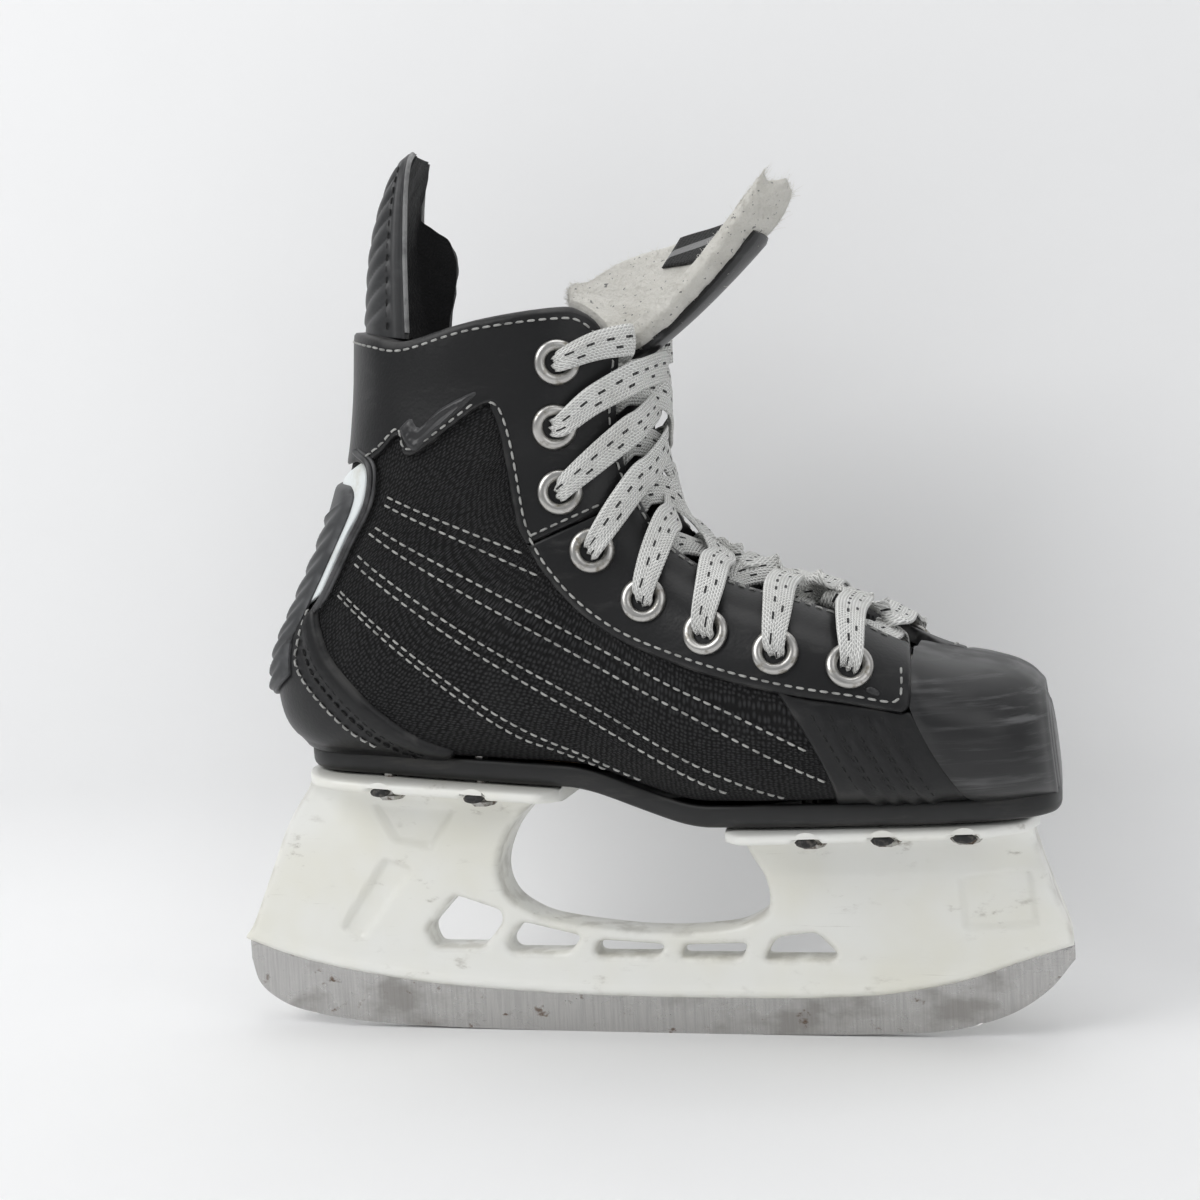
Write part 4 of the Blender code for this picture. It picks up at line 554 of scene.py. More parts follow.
# Grain: the fine pebble of embossed leather or moulded plastic.
GRAIN, given, gives = new_group("grain", [("Scale", "Float", 1100.0)], ["Height"])
place = add(GRAIN, "TexCoord").outputs["Object"]
cells = add(GRAIN, "TexVoronoi", {"Vector": place, "Scale": given["Scale"]}, feature="SMOOTH_F1")
fine = add(GRAIN, "TexNoise", {"Vector": place, "Scale": maths(GRAIN, "MULTIPLY", given["Scale"], 0.4),
                               "Detail": 5.0})
GRAIN.links.new(maths(GRAIN, "ADD", cells.outputs["Distance"], fine.outputs["Fac"]), gives["Height"])

# Edge wear: a mask that is strong in places within a short way of a piece's cut edge.
EDGE_WEAR, given, gives = new_group("edge_wear", [("Reach", "Float", 0.8)], ["Mask"])
rim_way = add(EDGE_WEAR, "Attribute", attribute_name="rim").outputs["Fac"]
near_edge = add(EDGE_WEAR, "MapRange", {"Value": rim_way, "From Max": given["Reach"], "To Min": 1.0,
                                        "To Max": 0.0})
rubbed = add(EDGE_WEAR, "TexNoise", {"Vector": add(EDGE_WEAR, "TexCoord").outputs["Object"],
                                     "Scale": 160.0, "Detail": 6.0})
worn = add(EDGE_WEAR, "MapRange", {"Value": rubbed.outputs["Fac"], "From Min": 0.45, "From Max": 0.62})
EDGE_WEAR.links.new(maths(EDGE_WEAR, "MULTIPLY", near_edge.outputs[0], worn.outputs[0]), gives["Mask"])


def make_leather():
    made, tree, shader = new_material("coated_leather", (0.008, 0.008, 0.0085), 0.40, Specular_IOR_Level=0.36)
    pebble = placed(tree, GRAIN, Scale=1300.0)["Height"]
    scuffs = placed(tree, PATCHES, Stretch=(70.0, 70.0, 260.0), Detail=8.0, Low=0.56, High=0.80)["Mask"]
    edges = placed(tree, EDGE_WEAR, Reach=0.9)["Mask"]
    marks = maths(tree, "MAXIMUM", maths(tree, "MULTIPLY", scuffs, 0.25),
                  maths(tree, "MULTIPLY", edges, 0.45))
    feed(shader, "Base Color", two_tone(tree, marks, (0.0075, 0.0075, 0.008), (0.09, 0.088, 0.085)))
    feed(shader, "Roughness", between(tree, marks, 0.38, 0.62))
    raised(tree, shader, pebble, 0.10, 0.35)
    return made


leather = make_leather()


def shift_line(points, dx, dz):
    return [(x + dx, z + dz) for x, z in points]


def vamp_shape(i, angle, rim):
    """Four welts stand up across the vamp."""
    place = skin(i, angle)
    height = np.zeros(len(place))
    for (x0, z0), (x1, z1) in VAMP_RIBS:
        lead = np.where(angle < 0, 1.09, 1.0)
        off = np.where(angle < 0, 4.05, 0.0)
        x = (place[:, 0] - off) / lead
        across = ((x - x0) * (z1 - z0) - (place[:, 2] - z0) * (x1 - x0)) / np.hypot(x1 - x0, z1 - z0)
        height += 0.85 * np.exp(-(across / 1.15) ** 2) * np.clip((rim - 0.6) / 2.0, 0, 1)
    return height


lines, dark_lines = [], []
for side, name in ((LATERAL, "lateral"), (MEDIAL, "medial")):
    overlap = seam(OVERLAP_SEAM, side)
    top = seam(COLLAR_TOP, side)
    outline = np.concatenate([top, back_line(22.85, 21.2, side), seam(COLLAR_EDGE, side), overlap,
                              throat_line(overlap[-1][0], top[0][0], side)])
    collar = panel("collar_skin_" + name, outline, leather, 0.0, 3.9, wrinkle=0.35)
    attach(collar, "skate")
    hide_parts("collar_" + name)
    end = seam(EYESTAY_END, side)
    outline = np.concatenate([seam(EYESTAY_EDGE, side), end,
                              throat_line(end[-1][0], overlap[-1][0] - 0.05, side),
                              on_side(shift_line(smooth(OVERLAP_SEAM)[::-1], 0.2, -0.4), side)])
    eyestay = panel("eyestay_skin_" + name, outline, leather, -0.15, 3.9, wrinkle=0.2)
    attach(eyestay, "skate")
    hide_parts("eyestay_" + name)
    vamp_top = [p for p in EYESTAY_EDGE if p[0] > 46.0]
    outline = np.concatenate([seam([(46.5, 98.5)] + vamp_top, side), seam(TOE_SEAM[1:], side),
                              tuck_line(91.5, 57.8, side), seam(NYLON_FRONT[::-1], side)])
    vamp = panel("vamp_skin_" + name, outline, leather, 0.55, 2.0, grid=1.1, wrinkle=0.15, shape=vamp_shape)
    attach(vamp, "skate")
    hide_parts("vamp_" + name)
    inner = shift_line(EYESTAY_EDGE, 0.6, 2.0)
    lines += sewn(seam(inner[:-1] + [(74.6, 94.0), (76.2, 97.0), (75.9, 103.0)], side), -0.15)
    lines += sewn(seam(shift_line(COLLAR_EDGE[5:], 2.0, 0.6), side))
    lines += sewn(seam(shift_line(COLLAR_EDGE[1:6], 0.4, 1.8), side))
    lines += sewn(seam(shift_line(OVERLAP_SEAM[:2], 0.5, 1.9), side))
    lines += sewn(seam(shift_line(COLLAR_TOP[1:], -0.6, -2.2), side))
    throat = throat_line(5.3, 21.6, side)
    throat[:, 1] += 4.5 * side
    lines += sewn(throat, -0.1)
    for line in VAMP_RIBS:
        for dx in (-1.7, 1.7):
            dark_lines += sewn(seam([(line[0][0] + dx, line[0][1] - 1.5), (line[1][0] + dx, line[1][1])],
                                    side), 0.6)
collar_stitching = join("leather_stitching", lines, white_thread)
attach(collar_stitching, "skate")
black_thread = make_thread("black_thread", (0.02, 0.02, 0.02))
dark_stitching = join("vamp_stitching", dark_lines, black_thread)
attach(dark_stitching, "skate")

# ---------------------------------------------------------------- emblem and eyestay dot
# A plain slanted wedge is pressed up out of the collar leather behind the seam, and a small pip
# marks the lower front corner of the eyestay.
WEDGE = [(-50.2, 166.6), (-46.2, 160.6), (-41.5, 163.0), (-26.5, 174.8), (-37.0, 171.4), (-43.8, 166.6),
         (-45.6, 169.6)]
WEDGE_RISE = 0.9


def wedge_shape(i, angle, rim):
    return WEDGE_RISE * np.clip(rim / 0.9, 0.0, 1.0) - 0.5 * np.clip((rim - 1.3) / 0.5, 0.0, 1.0)


def make_moulding(name, colour, roughness):
    made, tree, shader = new_material(name, colour, roughness)
    rubs = placed(tree, PATCHES, Stretch=(90.0, 90.0, 200.0), Detail=7.0, Low=0.52, High=0.78)["Mask"]
    edges = placed(tree, EDGE_WEAR, Reach=0.8)["Mask"]
    marks = maths(tree, "MAXIMUM", maths(tree, "MULTIPLY", rubs, 0.3), maths(tree, "MULTIPLY", edges, 0.6))
    pale = tuple(c * 2.5 + 0.05 for c in colour)
    feed(shader, "Base Color", two_tone(tree, marks, colour, pale))
    feed(shader, "Roughness", between(tree, marks, roughness, roughness + 0.22))
    raised(tree, shader, placed(tree, GRAIN, Scale=2200.0)["Height"], 0.05, 0.3)
    return made


black_moulding = make_moulding("black_moulding", (0.018, 0.018, 0.019), 0.36)
for side, name in ((LATERAL, "lateral"), (MEDIAL, "medial")):
    wedge = panel("collar_wedge_" + name, seam(WEDGE + WEDGE[:1], side), black_moulding, 0.0, 0.6, grid=0.6,
                  roll=0.3, wrinkle=0.0, shape=wedge_shape)
    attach(wedge, "skate")
    corner = on_side([(69.5, 96.8)], side)[0]
    pip_line = np.stack([corner[0] + 0.16 * np.cos(np.arange(16) * pi / 8),
                         corner[1] + 2.4 * np.sin(np.arange(16) * pi / 8)], -1)
    pip = panel("eyestay_pip_" + name, pip_line, black_moulding, -0.2, 0.4, grid=0.5, roll=0.5, wrinkle=0.0,
                shape=lambda i, angle, rim: 0.5 * np.clip(rim / 0.5, 0, 1) ** 0.5)
    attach(pip, "skate")

# ---------------------------------------------------------------- toe cap
# A hard moulded cap over the toes, scuffed matt along its top and round its front, where a rolled
# edge runs across. It was pushed over the lasted boot and glued behind its rear seam.
toe_plastic, tree, shader = new_material("toe_plastic", (0.016, 0.016, 0.017), 0.34)
rubs = placed(tree, PATCHES, Stretch=(25.0, 45.0, 420.0), Detail=9.0, Low=0.50, High=0.70)["Mask"]
matt = placed(tree, PATCHES, Stretch=(28.0, 28.0, 60.0), Detail=3.0, Low=0.40, High=0.62)["Mask"]
marks = maths(tree, "MULTIPLY", rubs, between(tree, matt, 0.25, 0.9))
feed(shader, "Base Color", two_tone(tree, marks, (0.012, 0.012, 0.0125), (0.12, 0.12, 0.122)))
feed(shader, "Roughness", between(tree, maths(tree, "MAXIMUM", marks, maths(tree, "MULTIPLY", matt, 0.6)),
                                  0.30, 0.62))
raised(tree, shader, rubs, 0.08, 0.6)
CAP_ANGLES = np.arange(0.0, 360.0, 3.0)
cap_side = {side: seam(TOE_SEAM, side) for side in (LATERAL, MEDIAL)}
cap_end = []
for angle in CAP_ANGLES:
    side = LATERAL if angle <= 180.0 else MEDIAL
    line = cap_side[side][np.argsort(np.abs(cap_side[side][:, 1]))]
    cap_end.append(np.interp(min(angle, 360.0 - angle), np.abs(line[:, 1]), line[:, 0]))
cap_end = np.array(cap_end)
CAP_ROWS = np.r_[np.linspace(1.0, 0.02, 46) ** 1.3, 0.0]
cap_points = []
for t in CAP_ROWS:
    row = cap_end * t
    spots = skin(row, CAP_ANGLES)
    ledge = 0.45 * np.exp(-((row - 0.75) / 0.16) ** 2) - 0.5 * np.exp(-((row - 0.42) / 0.12) ** 2)
    tip = 0.55 * np.exp(-((1.0 - t) * cap_end / 0.12) ** 2)
    cap_points.append(spots + outward(row, CAP_ANGLES) * (ledge - tip)[:, None])
nose = cap_points[-1]
nose_centre = nose.mean(0)
for shrink in (0.97, 0.92, 0.84, 0.7, 0.5, 0.25, 0.04):
    ring = nose_centre + (nose - nose_centre) * shrink
    ring[:, 0] = nose_centre[0] + (nose[:, 0] - nose_centre[0]) * shrink + 0.9 * (1.0 - shrink ** 2) ** 0.5
    cap_points.append(ring)
cap_points = np.concatenate(cap_points)
columns = len(CAP_ANGLES)
rows = len(cap_points) // columns
cap_faces = quads(rows, columns)
cap_faces.append([(rows - 1) * columns + k for k in range(columns)])
cap_points = cap_points + ripple(cap_points, 9.0, 3.0)[:, None] * np.array((0.0, 0.12, 0.12))
toe_cap = mesh_piece("toe_cap_moulding", cap_points, cap_faces, toe_plastic, sharp=70)
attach(toe_cap, "skate")
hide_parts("toe_cap")

# ---------------------------------------------------------------- heel band, insert and ribbed counter
# A leather band wraps the heel above the sole, with a stitched and raised upper edge. Above it a
# ribbed grey moulding protects the tendon, set in a white plastic insert with a black lip.
HEEL_EDGE = [(-79.0, 121.0), (-77.5, 114.0), (-73.0, 105.0), (-56.0, 87.0), (-44.0, 80.0)]
HEEL_PATCH = [(-80.5, 121.0), (-84.5, 112.0), (-84.8, 104.0), (-72.0, 89.5), (-63.2, 82.0)]
INSERT_EDGE = [(-64.0, 158.4), (-61.6, 155.4), (-62.6, 147.6), (-68.8, 138.4), (-76.5, 124.5)]
LIP_LINE = [(-65.6, 161.8), (-59.8, 157.2), (-60.6, 147.6), (-66.8, 137.4), (-74.6, 124.6), (-78.2, 120.4)]
COUNTER_EDGE = [(-87.5, 112.0), (-82.0, 119.5), (-71.2, 137.8), (-66.4, 146.5), (-65.6, 151.0),
                (-70.0, 155.0)]
COUNTER_FIRST, COUNTER_LAST, COUNTER_RIBS = 17.0, 20.9, 10


def mirrored(places):
    return np.stack([places[:, 0], 360.0 - places[:, 1]], -1)


def both_sides(edge, close_row=None):
    """A closed outline round the back of the boot from its lateral edge."""
    other = mirrored(edge)[::-1]
    middle = np.zeros((0, 2)) if close_row is None else np.array([(close_row, 180.0)])
    return np.concatenate([edge, middle, other])


heel_edge = np.concatenate([seam(HEEL_EDGE), tuck_line(-46.0, -86.0)])
heel_band = panel("heel_band_skin", both_sides(heel_edge, 15.35), leather, 0.1, 1.7, grid=1.5, wrinkle=0.15,
                  shape=lambda i, angle, rim: 0.55 * np.exp(-((rim - 2.0) / 1.6) ** 2)
                  - 0.3 * np.exp(-((rim - 4.6) / 0.7) ** 2))
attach(heel_band, "skate")
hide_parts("heel_band")
insert_plastic, tree, shader = new_material("insert_plastic", (0.80, 0.83, 0.83), 0.32)
stain = placed(tree, PATCHES, Stretch=(110.0, 110.0, 110.0), Low=0.5, High=0.8)["Mask"]
feed(shader, "Base Color", two_tone(tree, stain, (0.80, 0.84, 0.84), (0.62, 0.62, 0.56)))
feed(shader, "Roughness", between(tree, stain, 0.28, 0.5))
insert = panel("heel_insert_moulding", both_sides(seam(INSERT_EDGE)), insert_plastic, 0.1, 1.7, grid=1.6,
               wrinkle=0.0)
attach(insert, "skate")
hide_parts("heel_insert")
lip_runs = []
for half in (seam(LIP_LINE), mirrored(seam(LIP_LINE))):
    for depth, radius in ((-0.15, 0.85), (0.25, 0.55)):
        shifted = half + (0.0, 0.0 if radius > 0.6 else (-1.9 if half[0][1] < 180.0 else 1.9))
        lip_runs.append(tube(skin(shifted[:, 0], shifted[:, 1], depth), radius, 10,
                             outward(shifted[:, 0], shifted[:, 1])))
lip = join("heel_lip", lip_runs, black_moulding)
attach(lip, "skate")
counter_plastic = make_moulding("counter_plastic", (0.040, 0.041, 0.043), 0.45)
rib_rows, rib_columns = 130, 30
rib_i, rib_a = np.meshgrid(np.linspace(0.0, 1.0, rib_rows), np.linspace(-1.0, 1.0, rib_columns),
                           indexing="ij")
edge_way = np.minimum(np.minimum(rib_i, 1.0 - rib_i) * 34.0, (1.0 - np.abs(rib_a)) * 11.0)
teeth = np.abs(((rib_i * COUNTER_RIBS + 0.5 * (1.0 - rib_a ** 2)) % 1.0) - 0.5) * 2.0
ribbed = 1.0 * np.clip(teeth * 1.7 - 0.3, 0.0, 1.0) * np.clip((edge_way - 1.2) / 0.8, 0.0,
                                                              1.0) * (rib_i < 0.86)
rounding = 1.4 * (1.0 - np.sqrt(1.0 - np.clip(1.0 - edge_way / 1.8, 0.0, 1.0) ** 2))
counter_i = COUNTER_FIRST + (COUNTER_LAST - COUNTER_FIRST) * rib_i
counter_edge = seam(COUNTER_EDGE)
counter_edge = counter_edge[np.argsort(counter_edge[:, 0])]
half_angle = np.interp(counter_i, counter_edge[:, 0], 180.0 - counter_edge[:, 1])
half_angle = half_angle * np.sqrt(np.clip(1.02 - (np.clip(rib_i - 0.9, 0.0, None) / 0.1) ** 2, 0.0, 1.0))
counter_a = 180.0 + half_angle * rib_a
front = skin(counter_i.ravel(), counter_a.ravel(), (-1.9 - ribbed + rounding).ravel())
behind = skin(counter_i.ravel(), counter_a.ravel(), 0.4)
grid_faces = np.array(quads(rib_rows, rib_columns, False))
counter = mesh_piece("ribbed_counter", *closed_from(front, behind, grid_faces), counter_plastic,
                     rim=np.r_[edge_way.ravel(), edge_way.ravel()], sharp=50)
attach(counter, "skate")
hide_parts("heel_counter")
patch_line = seam(HEEL_PATCH)
lines = sewn(patch_line, -0.1) + sewn(mirrored(patch_line), -0.1)
heel_stitching = join("heel_stitching", lines, white_thread)
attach(heel_stitching, "skate")
lines = []
for dx, dz in ((-3.6, -2.4), (-5.4, -3.6)):
    line = seam(shift_line(HEEL_EDGE[1:], dx, dz))
    lines += sewn(line, 0.0) + sewn(mirrored(line), 0.0)
heel_seams = join("heel_seams", lines, black_thread)
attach(heel_seams, "skate")

# ---------------------------------------------------------------- collar roll and liner
# The collar's top edge is rolled over foam and sewn down inside. The liner is a black brushed
# microfibre, quilted over the two ankle pads.
LINER_DEPTH, ROLL_RADIUS, THROAT_LEAD = 5.3, 2.2, 1.5
liner_fabric, tree, shader = new_material("liner_fabric", (0.020, 0.020, 0.021), 0.9, Sheen_Weight=0.25)
pile = add(tree, "TexNoise", {"Scale": 2600.0, "Detail": 3.0,
                              "Vector": add(tree, "TexCoord").outputs["Object"]}).outputs["Fac"]
worn = placed(tree, PATCHES, Stretch=(55.0, 55.0, 55.0), Low=0.45, High=0.75)["Mask"]
feed(shader, "Base Color", two_tone(tree, maths(tree, "MULTIPLY", pile, between(tree, worn, 0.5, 1.2)),
                                    (0.008, 0.008, 0.009),
                        (0.050, 0.050, 0.052)))
raised(tree, shader, pile, 0.3, 0.8)


def collar_row(angles, side):
    """The row where the collar ends, at each angle."""
    top = seam(COLLAR_TOP, side)
    top = np.concatenate([top, [(22.85, 180.0 * side)]])
    order = np.argsort(np.abs(top[:, 1]))
    return np.interp(np.abs(angles), np.abs(top[order, 1]), top[order, 0])


liner_runs, roll_runs = [], []
for side in (LATERAL, MEDIAL):
    across = np.linspace(0.0, 1.0, 56)
    along = np.linspace(1.0, 0.0, 90)
    top_angle = 33.0 + (180.0 - 33.0) * across
    last = collar_row(top_angle, side)
    i = 1.0 + (last - 1.0) * along[:, None]
    low_angle = throat_angle(i, side) + THROAT_LEAD
    angle = low_angle + (180.0 - low_angle) * across[None, :]
    swell = 3.4 * np.sqrt(np.clip(1.0 - ((i - 18.5) / 4.0) ** 2, 0,
                                  1) * np.clip(1.0 - ((angle - 106.0) / 42.0) ** 2, 0, 1))
    near_top = np.exp(-(last[None, :] - i) * 9.0 / 4.0)
    quilt = 0.35 * np.cos(i * 9.0 / 4.5) * np.cos(np.radians(angle) * 14.0) * (1.0 - near_top)
    inner = skin(i.ravel(), (angle * side).ravel(), (LINER_DEPTH + swell + quilt - 0.9 * near_top).ravel())
    faces = quads(90, 56, False)
    liner_runs.append((inner, faces, np.stack([i.ravel() * 9.0, angle.ravel() * 0.62], -1)))
    edge_angle = np.linspace(throat_angle(21.6, side) + 1.0, 180.0, 70)
    edge_row = collar_row(edge_angle, side) - 0.12
    upright = skin(np.minimum(edge_row + 0.1, LAST), edge_angle * side) - skin(edge_row - 0.1,
                                                                               edge_angle * side)
    upright /= np.linalg.norm(upright, axis=1)[:, None]
    arc = np.linspace(-0.6, pi + 0.6, 12)
    ring = [skin(edge_row, edge_angle * side, ROLL_RADIUS * (1.0 - cos(a)))
            + upright * ROLL_RADIUS * sin(a) * 0.9 for a in arc]
    faces = quads(12, 70, False)
    roll_runs.append((np.concatenate(ring), faces))
liner = join("boot_liner", liner_runs, liner_fabric)
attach(liner, "skate")
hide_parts("liner", "ankle_pad_lateral", "ankle_pad_medial")
collar_roll = join("collar_roll", roll_runs, leather)
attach(collar_roll, "skate")

# ---------------------------------------------------------------- footbed and lasting board
# A thin foam footbed with a brushed cover lies on the fibre board, which the rivets come through.
# Cork fills the hollow that the lasted edges leave under the board.
sole_low, sole_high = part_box("footbed")
FOOTBED_THICK = 3.5


def sole_half_width(x):
    stations = np.array([(-97.0, 0.0), (-94.0, 13.0), (-88.0, 20.0), (-78.0, 25.0), (-60.0, 28.0),
                         (-30.0, 29.0),
                         (0.0, 31.0), (20.0, 33.5), (45.0, 36.0), (64.0, 36.2), (80.0, 34.5), (94.0, 30.5),
                         (104.0, 24.0), (110.0, 14.0), (112.4, 0.0)])
    return np.interp(x, stations[:, 0], stations[:, 1])


bed_x, bed_f = np.meshgrid(np.linspace(sole_low[0] / MM + 1.0, sole_high[0] / MM - 1.0, 80),
                           np.linspace(-1, 1, 26), indexing="ij")
end_round = np.sqrt(np.clip(1.0 - (np.abs(bed_x - bed_x.mean()) / (np.ptp(bed_x) / 2)) ** 10, 0.0, 1.0))
half_width = np.maximum(1.0, sole_half_width(bed_x) - 11.8) * end_round
bed_y = bed_f * half_width
bed_z = sole_height(bed_x) + 12.8 + 1.6 * np.abs(bed_f) ** 6 + 0.3 * np.sin(bed_x / 7.0) * np.cos(bed_y / 6.0)
bed_rim = (1.0 - np.abs(bed_f)) * half_width
upper = np.stack([bed_x, bed_y, bed_z], -1).reshape(-1, 3)
lower = np.stack([bed_x, bed_y, bed_z - FOOTBED_THICK], -1).reshape(-1, 3)
grid_faces = np.array(quads(80, 26, False))
footbed = mesh_piece("footbed_pad", *closed_from(upper, lower, grid_faces), liner_fabric,
                     rim=np.r_[bed_rim.ravel(), bed_rim.ravel()])
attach(footbed, "skate")
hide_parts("footbed")
for node, name, colour, speck in (("insole_board", "fibre_board", (0.42, 0.33, 0.23), (0.30, 0.22, 0.14)),
                                  ("sole_filler", "cork", (0.40, 0.27, 0.16), (0.16, 0.09, 0.05))):
    made, tree, shader = new_material(name, colour, 0.85)
    bits = placed(tree, PATCHES, Stretch=(420.0, 420.0, 420.0), Detail=3.0, Low=0.46, High=0.62)["Mask"]
    feed(shader, "Base Color", two_tone(tree, bits, colour, speck))
    raised(tree, shader, bits, 0.15, 0.6)
    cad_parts[node].material_slots[0].material = made

# ---------------------------------------------------------------- outsole
# A thin black moulded outsole runs the length of the boot. Its rim wraps up over the edges of the
# leather and nylon, and it shows as a dull band above the holder.
sole_plastic, tree, shader = new_material("sole_plastic", (0.016, 0.016, 0.016), 0.5)
grime = placed(tree, PATCHES, Stretch=(45.0, 45.0, 300.0), Detail=7.0, Low=0.50, High=0.75)["Mask"]
feed(shader, "Base Color", two_tone(tree, grime, (0.008, 0.008, 0.008), (0.050, 0.047, 0.043)))
feed(shader, "Roughness", between(tree, grime, 0.42, 0.75))
raised(tree, shader, grime, 0.06, 0.7)
RIM_LEVEL = 5.4
rows = np.r_[np.linspace(0.0, 14.0, 70), np.linspace(14.0, 15.45, 40)[1:]]
plan = []
for row in rows:
    angles = np.linspace(95.0, 180.0, 90)
    spots = skin(np.full(90, row), angles)
    over = spots[:, 2] - sole_height(spots[:, 0]) - RIM_LEVEL
    below = np.nonzero(over < 0.0)[0]
    if len(below) == 0:
        break
    k = max(int(below[0]), 1)
    t = over[k - 1] / (over[k - 1] - over[k])
    angle = angles[k - 1] + (angles[k] - angles[k - 1]) * t
    plan.append((skin(row, angle)[:2], skin(row, -angle)[:2]))
lateral_plan = np.array([p[0] for p in plan])
medial_plan = np.array([p[1] for p in plan])
heel_tip = np.array([(min(lateral_plan[-1][0], medial_plan[-1][0]) - 0.8, 0.0)])
plan = even(np.concatenate([lateral_plan, heel_tip, medial_plan[::-1]]), 2.0)
for _ in range(3):
    plan = (np.roll(plan, 1, 0) + plan * 2 + np.roll(plan, -1, 0)) / 4
ahead = np.roll(plan, -1, 0) - np.roll(plan, 1, 0)
off = np.stack([-ahead[:, 1], ahead[:, 0]], -1) / np.linalg.norm(ahead, axis=1)[:, None]
if (off * (plan - plan.mean(0))).sum() < 0:
    off = -off
RIM_PROFILE = [(-9.0, 0.2), (-4.0, 0.0), (-1.4, 0.05), (-0.4, 0.4), (0.1, 1.0), (0.35, 1.9), (0.42, 3.4),
               (0.4, 4.8),
               (0.25, 5.6), (-0.05, 6.0), (-0.6, 6.1), (-1.2, 5.6)]
sole_points = []
for out, high in RIM_PROFILE:
    flat = plan + off * out
    uneven = 0.15 * ripple(np.c_[plan, plan[:, :1] * 0], 12.0, 5.0) if high > 4.0 else 0.0
    sole_points.append(np.c_[flat, sole_height(flat[:, 0]) + high + uneven])
count = len(plan)
sole_points = np.concatenate(sole_points)
sole_faces = quads(len(RIM_PROFILE), count)
sole_faces.append(list(range(count)))
outsole = mesh_piece("outsole_moulding", sole_points, sole_faces, sole_plastic, sharp=50)
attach(outsole, "skate")
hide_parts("outsole")

# ---------------------------------------------------------------- blade holder
# One white moulding with a front and a rear post joined by a slim trussed rail that grips the
# runner. Flanges on top take the rivets, and shallow panels are sunk into both posts.
HOLDER_REAR = [(-86.0, 74.0), (-91.0, 69.0), (-97.0, 60.5), (-104.5, 45.0), (-111.5, 30.5), (-114.4, 26.4)]
HOLDER_FRONT = [(114.4, 26.2), (113.6, 31.0), (109.0, 43.5), (106.0, 54.0), (105.5, 60.5)]
BIG_WINDOW = [(29.5, 60.0), (32.5, 51.0), (36.3, 44.0), (36.6, 36.0), (31.5, 31.8), (23.5, 29.6), (4.5, 28.8),
              (-20.0, 31.4), (-30.0, 34.6), (-35.8, 39.5), (-37.5, 47.0), (-34.0, 56.5),
              (-26.0, 65.0), (-17.5, 69.5)]
SMALL_WINDOWS = [
    [(-50.5, 39.0), (-37.5, 34.6), (-37.5, 31.0), (-43.5, 24.0), (-58.0, 24.0), (-59.8, 29.0)],
    [(-32.0, 31.4), (-15.3, 27.4), (-19.0, 22.6), (-35.6, 22.6), (-37.0, 25.2)],
    [(-10.3, 26.4), (7.8, 25.2), (6.0, 21.8), (-11.6, 21.8), (-12.2, 23.4)],
    [(13.0, 25.2), (30.3, 25.8), (28.4, 21.4), (11.4, 21.4)],
    [(38.0, 27.4), (48.6, 29.0), (54.3, 22.6), (53.2, 21.3), (34.3, 21.3)],
]
SUNK_PANELS = [
    [(-71.5, 65.0), (-48.5, 63.4), (-55.8, 52.8), (-66.0, 54.8)],
    [(-69.7, 49.4), (-61.8, 46.6), (-78.6, 26.6), (-84.5, 29.6)],
    [(86.5, 44.0), (104.0, 46.0), (105.5, 31.6), (87.2, 30.4)],
]
RAIL = [(-114.5, 26.0), (-103.0, 21.8), (-91.0, 18.6), (-73.0, 15.4), (-55.0, 13.2), (-23.0, 11.2),
        (5.0, 10.6), (40.0, 10.7), (57.0, 11.4), (68.0, 12.4), (86.0, 16.0), (103.0, 22.0), (114.5, 26.0)]
RAIL_HALF, POST_HALF, FLANGE_THICK = 4.2, 9.0, 4.0
REAR_RIVETS, FRONT_RIVETS = (-64.0, -38.0), (50.0, 69.0, 89.0)

holder_plastic, tree, shader = new_material("holder_plastic", (0.80, 0.79, 0.71), 0.33, Coat_Roughness=0.2)
yellow = placed(tree, PATCHES, Stretch=(22.0, 22.0, 22.0), Detail=3.0, Low=0.38, High=0.72)["Mask"]
dirt = placed(tree, PATCHES, Stretch=(130.0, 130.0, 260.0), Detail=10.0, Low=0.56, High=0.72)["Mask"]
soil = placed(tree, PATCHES, Stretch=(34.0, 34.0, 50.0), Detail=6.0, Low=0.46, High=0.72)["Mask"]
edges = placed(tree, EDGE_WEAR, Reach=1.6)["Mask"]
scratch = placed(tree, PATCHES, Stretch=(40.0, 90.0, 1500.0), Detail=6.0, Low=0.66, High=0.72)["Mask"]
clean = two_tone(tree, between(tree, yellow, 0.0, 0.6), (0.87, 0.87, 0.83), (0.80, 0.78, 0.66))
marks = maths(tree, "MAXIMUM", maths(tree, "MULTIPLY", dirt, soil), maths(tree, "MULTIPLY", edges, 0.32))
dirty = two_tone(tree, maths(tree, "MAXIMUM", marks, maths(tree, "MULTIPLY", scratch, 0.25)), clean,
                 (0.26, 0.23, 0.18))
feed(shader, "Base Color", dirty)
feed(shader, "Roughness", between(tree, marks, 0.30, 0.7))
raised(tree, shader, maths(tree, "ADD", scratch, dirt), 0.04, 0.5)


def post_half(x, z):
    """Half the thickness of the holder at a side-view place."""
    top = sole_height(x) - 0.4 - FLANGE_THICK
    rise = np.clip((z - 21.0) / (top - 21.0), 0.0, 1.0)
    half = RAIL_HALF + (POST_HALF - RAIL_HALF) * np.minimum(1.0, 0.25 + rise * 1.1) ** 1.2
    half = half + 5.0 * np.exp(-np.clip(top - z, 0.0, None) / 1.6)
    lip = 0.9 * np.exp(-(np.clip(z - np.interp(x, *np.array(RAIL).T), 0.0, None) - 1.6) ** 2 / 2.2)
    return half + lip - 0.4


